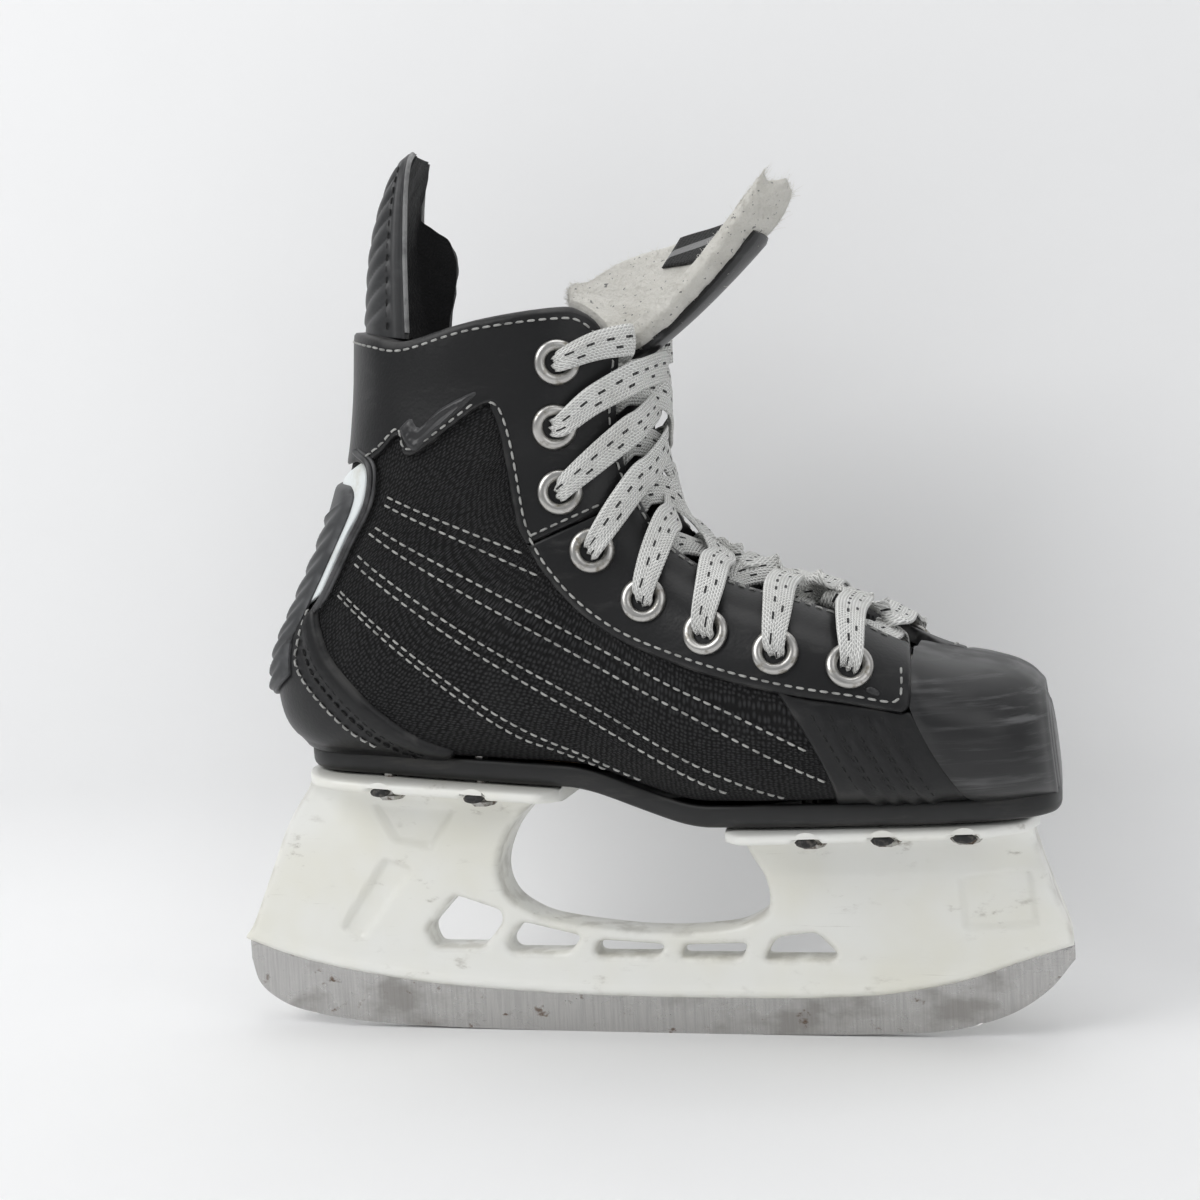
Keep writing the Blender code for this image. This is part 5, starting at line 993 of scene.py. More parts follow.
tops_front = [(x, float(sole_height(x)) - 2.5) for x in (105.0, 80.0, 65.0, 50.0, 30.5)]
tops_rear = [(x, float(sole_height(x)) - 2.5) for x in (-18.0, -42.0, -56.0, -68.0, -84.0)]
outer = even(np.concatenate([smooth(HOLDER_REAR), smooth(RAIL), smooth(HOLDER_FRONT), smooth(tops_front),
                             smooth(BIG_WINDOW), smooth(tops_rear)]), 1.3)
holes = []
for window in SMALL_WINDOWS:
    loop = even(np.array(window), 1.0)
    for _ in range(2):
        loop = (np.roll(loop, 1, 0) + loop + np.roll(loop, -1, 0)) / 3
    holes.append(loop)
flat, faces, rim = fill([outer] + holes, 1.0, [0.5])
half = post_half(flat[:, 0], flat[:, 1])
edge = np.clip(1.0 - rim / 1.7, 0.0, 1.0)
half = half - 1.3 * (1.0 - np.sqrt(1.0 - edge ** 2))
for corners in SUNK_PANELS:
    loop = even(np.array(corners), 1.0)
    depth_in = distance_to(flat, [loop]) * np.where(inside(flat, [loop]), 1.0, -1.0)
    half = half - 1.3 * np.clip((depth_in + 0.4) / 0.9, 0.0, 1.0)
sides = [np.stack([flat[:, 0], half * way, flat[:, 1]], -1) for way in (-1.0, 1.0)]
holder_runs = [closed_from(sides[0], sides[1], faces)]


def flange(x0, x1, rivets, reach):
    """A flange plate: a rounded strip with a scallop under its edge at each rivet."""
    xs = np.linspace(x0, x1, int((x1 - x0) / 1.0))
    end = np.minimum(xs - x0, x1 - xs)
    wide = np.minimum(reach, sole_half_width(xs) - 3.0) - 6.0 * (1.0 - np.clip(end / 6.0, 0, 1)) ** 2
    ring = []
    for turn in np.arange(28) * 2 * pi / 28:
        c, s = cos(turn), sin(turn)
        side_way = np.sign(c) * abs(c) ** 0.3
        high = np.sign(s) * abs(s) ** 0.55
        z = sole_height(xs) - 0.5 - FLANGE_THICK / 2 + high * FLANGE_THICK / 2 * 0.98
        if high < 0:
            for x in rivets:
                near = np.clip(1.0 - ((xs - x) / 3.6) ** 2, 0.0, 1.0) ** 0.5
                z = z + near * 2.6 * abs(side_way) ** 6
        ring.append(np.stack([xs, side_way * wide, z], -1))
    ring = np.stack(ring, 1)
    points = ring.reshape(-1, 3)
    faces = quads(len(xs), 28)
    faces += [list(range(28)), [(len(xs) - 1) * 28 + k for k in range(28)]]
    return points, faces


holder_runs.append(flange(-88.5, -16.0, REAR_RIVETS, 23.5))
holder_runs.append(flange(28.6, 107.0, FRONT_RIVETS, 27.5))
rims = np.concatenate([rim, rim, np.full(len(holder_runs[1][0]) + len(holder_runs[2][0]), 9.0)])
holder = join("blade_holder", holder_runs, holder_plastic, rim=rims, sharp=55)
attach(holder, "skate")
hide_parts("holder")

# ---------------------------------------------------------------- rivets, bolts and nuts
# Steel rivets hold the flanges through the sole, each set in a scallop at the flange's edge; small near-black
# pieces in the scallops are painted shade.
# Two bolts inside the posts pull the runner up into its slot.
fastener_steel, tree, shader = new_material("fastener_steel", (0.42, 0.41, 0.39), 0.35, Metallic=1.0)
tarnish = placed(tree, PATCHES, Stretch=(500.0, 500.0, 500.0), Low=0.42, High=0.66)["Mask"]
feed(shader, "Base Color", two_tone(tree, tarnish, (0.46, 0.45, 0.43), (0.10, 0.07, 0.05)))
feed(shader, "Roughness", between(tree, tarnish, 0.28, 0.6))
for node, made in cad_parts.items():
    if node.startswith(("rivet_", "runner_bolt", "runner_nut")):
        made.material_slots[0].material = fastener_steel
# Painted shade: a dark tube lies in each scallop under the flange's edge and stands for the deep shade there.
scallop_shade_runs = []
for x, reach in [(x, 23.5) for x in REAR_RIVETS] + [(x, 27.5) for x in FRONT_RIVETS]:
    wide = min(reach, float(sole_half_width(x)) - 3.0) - 1.5
    for side in (-1.0, 1.0):
        level = float(sole_height(x)) - 0.5 - FLANGE_THICK + 0.9
        line = [(x + dx, side * (wide + 0.9 * (1 - (dx / 2.9) ** 2)), level) for dx in np.linspace(-2.8,
                                                                                                   2.8, 9)]
        thick = 1.25 * np.sqrt(np.clip(1.02 - (np.linspace(-1, 1, 9)) ** 2, 0.02, 1))
        scallop_shade_runs.append(tube(line, thick, 10, np.array((0.0, side, 0.0))))
# The scallop pieces are near black, with a few paler grit specks. Their darkness is painted shade.
socket_shadow, tree, shader = new_material("painted_scallop_shade", (0.012, 0.012, 0.012), 0.55)
grit = placed(tree, PATCHES, Stretch=(600.0, 600.0, 600.0), Low=0.45, High=0.7)["Mask"]
feed(shader, "Base Color", two_tone(tree, grit, (0.010, 0.010, 0.010), (0.10, 0.09, 0.08)))
sockets = join("painted_scallop_shades", scallop_shade_runs, socket_shadow)
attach(sockets, "skate")

# ---------------------------------------------------------------- runner
# A 3 mm stainless steel runner, ground along its length and hollowed underneath. Old rust spots
# and dull patches mark its sides.
ICE_EDGE = [(-114.5, 19.5), (-112.6, 12.6), (-108.0, 8.2), (-100.5, 4.8), (-86.0, 2.3), (-70.0, 1.0),
            (-40.0, 0.2), (0.0, 0.0), (40.0, 0.2), (69.0, 1.0), (84.5, 2.6), (97.5, 6.6), (107.5, 13.2),
            (114.5, 21.5)]
RUNNER_HALF = 1.5
steel, tree, shader = new_material("runner_steel", (0.50, 0.49, 0.47), 0.32, Metallic=1.0)
grind = placed(tree, PATCHES, Stretch=(1600.0, 10.0, 60.0), Detail=6.0, Low=0.35, High=0.65)["Mask"]
long_grind = placed(tree, PATCHES, Stretch=(20.0, 10.0, 2600.0), Detail=5.0, Low=0.40, High=0.66)["Mask"]
dull = placed(tree, PATCHES, Stretch=(38.0, 38.0, 70.0), Detail=7.0, Low=0.50, High=0.66)["Mask"]
rust = placed(tree, PATCHES, Stretch=(190.0, 190.0, 260.0), Detail=9.0, Low=0.62, High=0.72)["Mask"]
bright = two_tone(tree, maths(tree, "MULTIPLY", grind, 0.5), (0.52, 0.51, 0.50), (0.36, 0.355, 0.35))
cloudy = two_tone(tree, maths(tree, "MULTIPLY", dull, 0.55), bright, (0.30, 0.285, 0.265))
feed(shader, "Base Color", two_tone(tree, maths(tree, "MULTIPLY", rust, 0.8), cloudy, (0.13, 0.07, 0.035)))
feed(shader, "Roughness", between(tree, maths(tree, "MAXIMUM", dull, rust), 0.27, 0.55))
raised(tree, shader, maths(tree, "ADD", grind, long_grind), 0.015, 0.6)
top_line = [(x, z + 6.0 * min(1.0, (114.5 - abs(x)) / 22.0)) for x, z in RAIL[::-1]]
loop = even(np.concatenate([smooth(ICE_EDGE), smooth(top_line)]), 1.2)
loop[:, 1] = np.maximum(loop[:, 1], 0.0)
flat, faces, rim = fill([loop], 2.2, [0.25, 0.6])
half = RUNNER_HALF - 0.35 * np.clip(1.0 - rim / 0.5, 0.0, 1.0) * (flat[:, 1] > 4.0)
sides = [np.stack([flat[:, 0], half * way, flat[:, 1]], -1) for way in (-1.0, 1.0)]
runner = mesh_piece("steel_runner", *closed_from(sides[0], sides[1], faces), steel, rim=np.tile(rim, 2),
                    sharp=30)
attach(runner, "skate")
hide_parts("runner")

# ---------------------------------------------------------------- eyelets
# Eight two-part nickel eyelets on each side, with a domed flange outside and a rolled clinch
# behind the facing.
EYELETS = [(-6.5, 180.8), (-8.2, 164.7), (-7.6, 148.2), (0.0, 133.1), (13.0, 120.3), (29.0, 111.9),
           (46.4, 106.8), (64.1, 102.8)]
EYELET_GRIP, BORE = 5.2, 3.0
FLANGE_PROFILE = [(BORE, -EYELET_GRIP), (BORE, 0.9), (3.15, 1.35), (3.5, 1.7), (4.1, 1.9), (4.8, 1.85),
                  (5.4, 1.55),
                  (5.75, 1.1), (5.8, 0.6), (5.5, 0.3), (3.6, 0.2), (3.5, -EYELET_GRIP + 0.2),
                  (4.4, -EYELET_GRIP - 0.1),
                  (4.2, -EYELET_GRIP - 0.4), (3.4, -EYELET_GRIP - 0.4)]
nickel, tree, shader = new_material("eyelet_nickel", (0.62, 0.61, 0.585), 0.26, Metallic=1.0)
tarnish = placed(tree, PATCHES, Stretch=(420.0, 420.0, 420.0), Detail=6.0, Low=0.50, High=0.72)["Mask"]
feed(shader, "Base Color", two_tone(tree, tarnish, (0.50, 0.49, 0.47), (0.22, 0.20, 0.16)))
feed(shader, "Roughness", between(tree, tarnish, 0.30, 0.55))
eyelet_rows = {}
SPOKES = 40
for side, name in ((LATERAL, "lateral"), (MEDIAL, "medial")):
    places = on_side(EYELETS, side)
    centres, normals = skin(places[:, 0], places[:, 1]), outward(places[:, 0], places[:, 1])
    throats = skin(places[:, 0], throat_angle(places[:, 0], side) * side)
    eyelet_rows[side] = []
    rings = []
    for place, centre, normal, throat in zip(places, centres, normals, throats):
        reach = throat - centre
        reach = reach - normal * reach.dot(normal)
        reach /= np.linalg.norm(reach)
        eyelet_rows[side].append((centre, normal, reach, place[0], place[1]))
        across = np.cross(normal, reach)
        turn = np.arange(SPOKES) * 2 * pi / SPOKES
        around = reach * np.cos(turn)[:, None] + across * np.sin(turn)[:, None]
        points = np.concatenate([centre + around * r + normal * (h - 0.1) for r, h in FLANGE_PROFILE])
        count = len(FLANGE_PROFILE)
        faces = [[r * SPOKES + k, r * SPOKES + (k + 1) % SPOKES,
                  ((r + 1) % count) * SPOKES + (k + 1) % SPOKES,
                  ((r + 1) % count) * SPOKES + k] for r in range(count) for k in range(SPOKES)]
        rings.append((points, faces))
    eyelets = join("eyelets_" + name, rings, nickel)
    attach(eyelets, "skate")
    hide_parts(*["eyelet_%s_%d" % (name, k + 1) for k in range(8)])

# ---------------------------------------------------------------- lace
# One flat off-white cotton lace with two broken black tracer threads. It runs from the toe
# upwards, crossing the tongue, and both ends are tucked between the boot and the tongue.
LACE_WIDTH, LACE_THICK, LACE_PINCH = 8.2, 1.3, 4.4
LACE_UNDER, LACE_OVER = 5.55, {LATERAL: 3.4, MEDIAL: 1.2}
LACE_DROPS = {0: 1.9, 7: -0.3}


def lace_turn(row, side, drop):
    """The lace at one eyelet: from under the throat edge, out through the bore and over the edge."""
    centre, normal, reach, i, angle = row
    throat = float(throat_angle(i, side)) * side

    def along(fraction, depth, width, climb=0.0):
        return np.r_[skin(i + climb, angle + (throat - angle) * fraction, depth), width]

    return [along(1.35, 2.0, LACE_WIDTH, -0.15 - drop), along(1.0, LACE_UNDER, LACE_WIDTH, -0.08 - drop),
            along(0.62, LACE_UNDER + 0.6, LACE_WIDTH * 0.85, -drop * 0.6),
            np.r_[centre - normal * (EYELET_GRIP + 3.4) + reach * 1.6, LACE_PINCH * 1.15],
            np.r_[centre - normal * EYELET_GRIP * 0.5, LACE_PINCH],
            np.r_[centre + normal * 3.6 + reach * 1.5, LACE_PINCH * 1.25],
            along(0.45, -3.8, LACE_WIDTH * 0.88), along(1.0, -3.6, LACE_WIDTH, 0.08),
            along(1.35, -3.0, LACE_WIDTH, 0.15)]


def lace_end(row, side):
    i, angle = row[3:5]
    throat = float(throat_angle(i, side)) * side
    return [np.r_[skin(i - 0.25, angle + (throat - angle) * fraction, depth), LACE_WIDTH]
            for fraction, depth in ((1.0, -4.0), (1.19, -0.8), (1.21, 2.4), (1.12, 5.8),
                                    (0.8, LACE_UNDER + 0.3))]


strands = []
for start in (LATERAL, MEDIAL):
    points, side = [], start
    for k in range(7, -1, -1):
        row = eyelet_rows[side][k]
        turn = lace_turn(row, side, LACE_DROPS.get(k, 0.0))
        points += turn[1:] if k == 7 else turn
        if k > 0:
            above = eyelet_rows[-side][k - 1]
            middle = (row[3] + above[3] - LACE_DROPS.get(k - 1, 0.0)) / 2
            points.append(np.r_[skin(middle, 0.0, -LACE_OVER[start]), LACE_WIDTH])
            side = -side
        else:
            points[-2:] = lace_end(row, side)
    strands.append(points)
low_row = (eyelet_rows[LATERAL][7][3] + eyelet_rows[MEDIAL][7][3]) / 2
bar = [np.r_[skin(low_row - 0.1, angle, 1.4), LACE_WIDTH] for angle in (-4.0, 5.0)]
route = smooth(strands[1][::-1] + bar + strands[0], 0.7)
for _ in range(2):
    route[1:-1] = (route[:-2] + route[1:-1] * 2 + route[2:]) / 4
line, width = route[:, :3], route[:, 3]
ahead = np.gradient(line, axis=0)
ahead /= np.linalg.norm(ahead, axis=1)[:, None]
ridge = skin(np.linspace(5, LAST, 120), 0.0)
ridge_way = np.gradient(ridge, axis=0)
nearest = np.linalg.norm(line[:, None] - ridge[None], axis=2).argmin(1)
wide = ridge_way[nearest]
wide = wide - ahead * (wide * ahead).sum(1)[:, None]
wide /= np.linalg.norm(wide, axis=1)[:, None]
for _ in range(4):
    wide[1:-1] = (wide[:-2] + wide[1:-1] * 2 + wide[2:]) / 4
    wide /= np.linalg.norm(wide, axis=1)[:, None]
thick_way = np.cross(ahead, wide)
run = np.r_[0, np.cumsum(np.linalg.norm(np.diff(line, axis=0), axis=1))]
LACE_SIDES = 24
turn = np.arange(LACE_SIDES) * 2 * pi / LACE_SIDES
flat_x = np.sign(np.cos(turn)) * np.abs(np.cos(turn)) ** 0.8
flat_y = np.sign(np.sin(turn)) * np.abs(np.sin(turn)) ** 0.55
slack = 0.5 * ripple(np.stack([run, run * 0, run * 0], -1), 11.0, 2.0)
gather = np.clip((LACE_WIDTH - width) / (LACE_WIDTH - LACE_PINCH), 0.0, 1.0)
thick = LACE_THICK / 2 * (1.0 + 0.9 * gather)
fold = gather[:, None] * 0.5 * np.cos(flat_x * 2.5 * pi)[None, :]
cup = 0.45 * np.sin(run / 9.0)[:, None] * (flat_x ** 2)[None, :] * (1.0 - gather)[:, None]
ring = line[:, None] + wide[:, None] * (width[:, None] / 2 * flat_x)[..., None]
ring = ring + thick_way[:, None] * (thick[:, None] * flat_y + fold + cup + slack[:, None] * 0.4)[..., None]
count = len(line)
lace_faces = quads(count, LACE_SIDES)
lace_faces += [list(range(LACE_SIDES)), [(count - 1) * LACE_SIDES + k for k in range(LACE_SIDES)]]
lace_uv = np.stack(np.broadcast_arrays(run[:, None], flat_x * LACE_WIDTH / 2), -1).reshape(-1, 2)
lace_cotton, tree, shader = new_material("lace_cotton", (0.56, 0.56, 0.53), 0.85, Sheen_Weight=0.2)
split = add(tree, "SeparateXYZ", {0: add(tree, "TexCoord").outputs["UV"]}).outputs
plait = maths(tree, "SINE", maths(tree, "MULTIPLY", maths(tree, "ADD", split[0],
                                                          maths(tree, "ABSOLUTE", split[1])), 5.2))
rib = maths(tree, "SINE", maths(tree, "MULTIPLY", split[1], 8.0))
knit = maths(tree, "MULTIPLY", maths(tree, "ADD", plait, 1.2), maths(tree, "ADD", rib, 1.4))
tracers = []
for offset, shift, pitch in ((0.9, 0.0, 5.6), (-1.5, 2.3, 11.2)):
    near = maths(tree, "LESS_THAN", maths(tree, "ABSOLUTE", maths(tree, "SUBTRACT", split[1], offset)), 0.36)
    step = maths(tree, "FRACT", maths(tree, "DIVIDE", maths(tree, "ADD", split[0], shift), pitch))
    tracers.append(maths(tree, "MULTIPLY", near, maths(tree, "LESS_THAN", step, 2.2 / pitch)))
tracer = maths(tree, "MAXIMUM", *tracers)
soil = placed(tree, PATCHES, Stretch=(60.0, 60.0, 60.0), Low=0.40, High=0.75)["Mask"]
cotton = two_tone(tree, between(tree, knit, 0.55, 0.0), (0.95, 0.95, 0.92), (0.76, 0.76, 0.73))
grubby = two_tone(tree, maths(tree, "MULTIPLY", soil, 0.35), cotton, (0.55, 0.54, 0.49))
feed(shader, "Base Color", two_tone(tree, tracer, grubby, (0.015, 0.015, 0.015)))
raised(tree, shader, knit, 0.16)
lace = mesh_piece("flat_lace", ring.reshape(-1, 3), lace_faces, lace_cotton, uv=lace_uv, sharp=80)
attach(lace, "skate")
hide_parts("lace")

# ---------------------------------------------------------------- tongue
# A thick wool felt tongue faced in front with black vinyl. It lies under the laced throat and its
# free top leans forward, frayed at the tip, with a woven size label behind.
TONGUE_FOOT = [(3.5, -11.5, 182.2), (6.5, -6.5, 180.8), (7.5, 0.0, 180.4), (6.0, 5.5, 181.2),
               (2.0, 10.0, 183.5),
               (-6.0, 13.5, 190.0), (-15.0, 15.5, 195.0)]
TONGUE_MIDDLE = [(23.0, -16.0, 193.5), (27.0, -8.5, 194.0), (28.0, 0.5, 195.0), (23.0, 10.0, 196.0),
                 (11.5, 17.0, 197.5), (-3.0, 21.5, 198.5), (-16.0, 23.5, 198.5)]
TONGUE_TIP = [(47.5, -14.0, 224.0), (52.5, -7.0, 221.0), (52.0, 3.0, 218.5), (42.0, 13.0, 214.5),
              (20.0, 22.0, 211.5), (-1.0, 26.0, 207.5), (-14.0, 24.0, 196.0)]
FELT_THICK = 6.0
wool_felt, tree, shader = new_material("wool_felt", (0.66, 0.64, 0.58), 0.95, Sheen_Weight=0.35)
place = add(tree, "TexCoord").outputs["Object"]
fibre = add(tree, "TexNoise", {"Vector": place, "Scale": 1500.0, "Detail": 8.0,
                               "Roughness": 0.75}).outputs["Fac"]
clump = add(tree, "TexNoise", {"Vector": place, "Scale": 330.0, "Detail": 5.0}).outputs["Fac"]
soil = placed(tree, PATCHES, Stretch=(50.0, 50.0, 50.0), Low=0.42, High=0.75)["Mask"]
specks = placed(tree, PATCHES, Stretch=(650.0, 650.0, 650.0), Detail=2.0, Low=0.66, High=0.70)["Mask"]
wool = two_tone(tree, fibre, (0.68, 0.66, 0.60), (0.93, 0.91, 0.85))
used = two_tone(tree, maths(tree, "MULTIPLY", soil, 0.45), wool, (0.50, 0.475, 0.41))
feed(shader, "Base Color", two_tone(tree, maths(tree, "MULTIPLY", specks, 0.8), used, (0.04, 0.04, 0.04)))
raised(tree, shader, maths(tree, "ADD", fibre, maths(tree, "MULTIPLY", clump, 2.0)), 0.7)
vinyl, tree, shader = new_material("tongue_vinyl", (0.014, 0.014, 0.015), 0.36)
creases = placed(tree, PATCHES, Stretch=(60.0, 60.0, 200.0), Detail=7.0, Low=0.50, High=0.75)["Mask"]
feed(shader, "Base Color", two_tone(tree, creases, (0.013, 0.013, 0.014), (0.07, 0.07, 0.07)))
feed(shader, "Roughness", between(tree, creases, 0.32, 0.55))
raised(tree, shader, placed(tree, GRAIN, Scale=1500.0)["Height"], 0.08, 0.4)


def spline_rows(table, at):
    """Smooth values between the rows of a table."""
    table = np.asarray(table, float)
    last = len(table) - 1
    at = np.clip(np.asarray(at, float), 0.0, last)
    k = np.minimum(at.astype(int), last - 1)
    t = (at - k)[..., None]
    a, b, c, d = (table[np.clip(k + step, 0, last)] for step in (-1, 0, 1, 2))
    return b + 0.5 * t * (c - a + t * (2 * a - 5 * b + 4 * c - d + t * (3 * (b - c) + d - a)))


def free_tongue(s, c):
    """Front face of the tongue's free top: up it from 0 to 1, across it from 0 to 6."""
    low, middle, high = (spline_rows(row, c) for row in (TONGUE_FOOT, TONGUE_MIDDLE, TONGUE_TIP))
    s = np.asarray(s, float)[..., None]
    return low * (1 - s) * (1 - 2 * s) + middle * 4 * s * (1 - s) + high * s * (2 * s - 1)


def behind_tongue(s, c, depth):
    s, c, depth = np.broadcast_arrays(*(np.asarray(v, float) for v in (s, c, depth)))
    along = free_tongue(np.minimum(s + 0.04, 1.0), c) - free_tongue(np.maximum(s - 0.04, 0.0), c)
    across = free_tongue(s, np.minimum(c + 0.15, 6.0)) - free_tongue(s, np.maximum(c - 0.15, 0.0))
    normal = np.cross(along, across)
    normal /= np.linalg.norm(normal, axis=-1, keepdims=True)
    return free_tongue(s, c) + normal * depth[..., None], normal


def felt_ring(count):
    """Once round the felt: each point's place across the tongue and its share of the thickness."""
    turn = np.arange(count) * 2 * pi / count
    across = 3.0 + 3.0 * np.sign(np.cos(turn)) * np.abs(np.cos(turn)) ** 0.55
    share = 0.5 - 0.5 * np.sign(np.sin(turn)) * np.abs(np.sin(turn)) ** 0.5
    return across, share


FELT_SIDES, FELT_ROWS = 120, 70
around, share = felt_ring(FELT_SIDES)
up_it = np.linspace(0.0, 1.0, FELT_ROWS)
felt_rows = []
for s in up_it:
    thin = np.sqrt(np.clip(1.0 - max(0.0, (s - 0.90) / 0.103) ** 2, 0.03, 1.0))
    depth = 1.3 + FELT_THICK * (0.5 + (share - 0.5) * thin)
    points, normal = behind_tongue(np.full(FELT_SIDES, s), around, depth)
    felt_rows.append(points)
felt_points = np.array(felt_rows)
tip_noise = ripple(felt_points[-1], 5.0, 7.0)
flat_points = felt_points.reshape(-1, 3)
bumps = 0.6 * ripple(flat_points, 4.5, 1.0) + 0.35 * ripple(flat_points, 1.6, 4.0)
middle = felt_points.mean(1, keepdims=True)
spreading = felt_points - middle
spreading = (spreading / (np.linalg.norm(spreading, axis=2, keepdims=True) + 1e-9)).reshape(-1, 3)
flat_points = flat_points + spreading * bumps[:, None]
up_way = (felt_points[-1] - felt_points[-6])
up_way /= np.linalg.norm(up_way, axis=1)[:, None]
flat_points = flat_points.reshape(FELT_ROWS, FELT_SIDES, 3)
for back_row, much in ((1, 1.0), (2, 0.85), (3, 0.6), (4, 0.4), (5, 0.2)):
    flat_points[-back_row] += up_way * (2.2 * tip_noise * much)[:, None]
faces = quads(FELT_ROWS, FELT_SIDES)
for base in (0, (FELT_ROWS - 1) * FELT_SIDES):
    faces += [[base + k, base + k + 1, base + FELT_SIDES - 2 - k,
               base + FELT_SIDES - 1 - k] for k in range(FELT_SIDES // 2 - 1)]
felt_top = mesh_piece("tongue_felt_top", flat_points.reshape(-1, 3), faces, wool_felt, sharp=120)
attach(felt_top, "tongue_top")
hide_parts("tongue_felt_upper")


def strip(name, first, last, c0, c1, front_depth, back_depth, finish, rows=50, columns=30):
    """A thin layer on the tongue's free top."""
    s, c = np.meshgrid(np.linspace(first, last, rows), np.linspace(c0, c1, columns), indexing="ij")
    rim = np.minimum(np.minimum(s - first, last - s) * 60.0, np.minimum(c - c0, c1 - c) * 8.0)
    sink = 0.5 * (1.0 - np.sqrt(1.0 - np.clip(1.0 - rim / 0.8, 0,
                                              1) ** 2)) * np.sign(back_depth - front_depth)
    front = behind_tongue(s, c, front_depth + sink)[0].reshape(-1, 3)
    front = front + 0.15 * ripple(front, 6.0)[:, None]
    rear = behind_tongue(s, c, back_depth)[0].reshape(-1, 3)
    faces = np.array(quads(rows, columns, False))
    uv = np.stack([s.ravel() * 60.0, c.ravel() * 8.0], -1)
    points, solid = closed_from(front, rear, faces)
    return mesh_piece(name, points, solid, finish, uv=np.tile(uv, (2, 1)), rim=np.tile(rim.ravel(), 2),
                      sharp=60)


facing_top = strip("tongue_facing_top", 0.0, 0.84, 0.75, 4.0, 0.0, 1.7, vinyl)
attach(facing_top, "tongue_top")
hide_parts("tongue_facing_upper")
label_tape, tree, shader = new_material("label_tape", (0.02, 0.02, 0.02), 0.6)
split = add(tree, "SeparateXYZ", {0: add(tree, "TexCoord").outputs["UV"]}).outputs
weave = placed(tree, WEAVE, Pitch=0.45)
slant = maths(tree, "ADD", split[0], maths(tree, "MULTIPLY", split[1], 0.6))
band = maths(tree, "LESS_THAN", maths(tree, "ABSOLUTE", maths(tree, "SUBTRACT", slant, 67.3)), 2.0)
# The weave's thread crowns are painted lighter on the black tape, which is a painted sheen. The slanted pale
# band is print.
label_ground_sheen = two_tone(tree, weave["Dots"], (0.008, 0.008, 0.008), (0.045, 0.045, 0.045))
feed(shader, "Base Color", two_tone(tree, maths(tree, "MULTIPLY", band, 0.75), label_ground_sheen, (0.34, 0.34, 0.34)))
raised(tree, shader, weave["Height"], 0.12)
label = strip("woven_label", 0.69, 0.985, 3.05, 3.95, FELT_THICK + 2.6, FELT_THICK + 1.5, label_tape, 24, 14)
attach(label, "tongue_top")
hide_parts("tongue_label")


def tongue_depth(i, angle):
    """Depth of the laced tongue's front: proud in the throat, tucked under the laced edges."""
    throat = np.where(angle > 0, throat_angle(i, LATERAL), throat_angle(i, MEDIAL))
    t = np.clip((np.abs(angle) / np.maximum(throat, 1.0) - 0.2) / 0.8, 0.0, 1.0)
    return 5.0 + 5.0 * t * t * (3 - 2 * t)


row_i, row_a = np.meshgrid(np.linspace(5.0, 18.6, 90), np.linspace(-56.0, 56.0, 60), indexing="ij")
faces = np.array(quads(90, 60, False))
flat_i, flat_a = row_i.ravel(), row_a.ravel()
front_depth = tongue_depth(flat_i, flat_a)
puckers = 0.5 * np.cos(flat_i * 2 * pi / 1.9) * np.exp(-(flat_a / 22.0) ** 2)
for name, nodes, finish, slot_name, depth0, depth1 in (
        ("tongue_facing_low", "tongue_facing_lower", vinyl, "tongue_vinyl", 0.0, 1.2),
        ("tongue_felt_low", "tongue_felt_lower", wool_felt, "tongue_felt", 1.4, 6.2)):
    front = skin(flat_i, flat_a, front_depth + depth0 + puckers)
    rear = skin(flat_i, flat_a, front_depth + depth1)
    rear = rear + 0.3 * ripple(rear, 3.0)[:, None] * (depth1 > 3.0)
    made = mesh_piece(name, *closed_from(front, rear, faces), finish, sharp=80)
    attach(made, "skate")
    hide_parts(nodes)

# Loose wool fibres stand out of the felt round its frayed tip.
FIBRES, FIBRE_LENGTH, FIBRE_RADIUS = 900, 3.2, 0.055
SHORT_FIBRES, SHORT_LENGTH, SHORT_RADIUS = 3000, 1.1, 0.045
chooser = np.random.default_rng(7)
fibre_runs = []
tip_rows = flat_points[-9:].reshape(-1, 3)
tip_out = np.tile(up_way, (9, 1)) + spreading.reshape(FELT_ROWS, FELT_SIDES, 3)[-9:].reshape(-1, 3) * 0.8
for number in chooser.integers(0, len(tip_rows), FIBRES):
    way = tip_out[number] + chooser.normal(0.0, 0.45, 3)
    way /= np.linalg.norm(way)
    bend = chooser.normal(0.0, 0.35, 3)
    reach = np.linspace(0.0, 1.0, 5)[:, None] * FIBRE_LENGTH * chooser.uniform(0.3, 1.0)
    fibre_runs.append(tube(tip_rows[number] + way * (reach - 0.3) + bend * reach ** 2 / FIBRE_LENGTH,
                           FIBRE_RADIUS * np.linspace(1.0, 0.4, 5), 3))
every_row = flat_points.reshape(-1, 3)
for number in chooser.integers(0, len(every_row), SHORT_FIBRES):
    way = spreading[number] + chooser.normal(0.0, 0.6, 3)
    reach = np.linspace(0.0, 1.0, 4)[:, None] * SHORT_LENGTH * chooser.uniform(0.3, 1.0)
    bend = chooser.normal(0.0, 0.5, 3)
    fibre_runs.append(tube(every_row[number] + way * (reach - 0.2) + bend * reach ** 2, SHORT_RADIUS, 3))
fibres = join("felt_fibres", fibre_runs, wool_felt)
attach(fibres, "tongue_top")

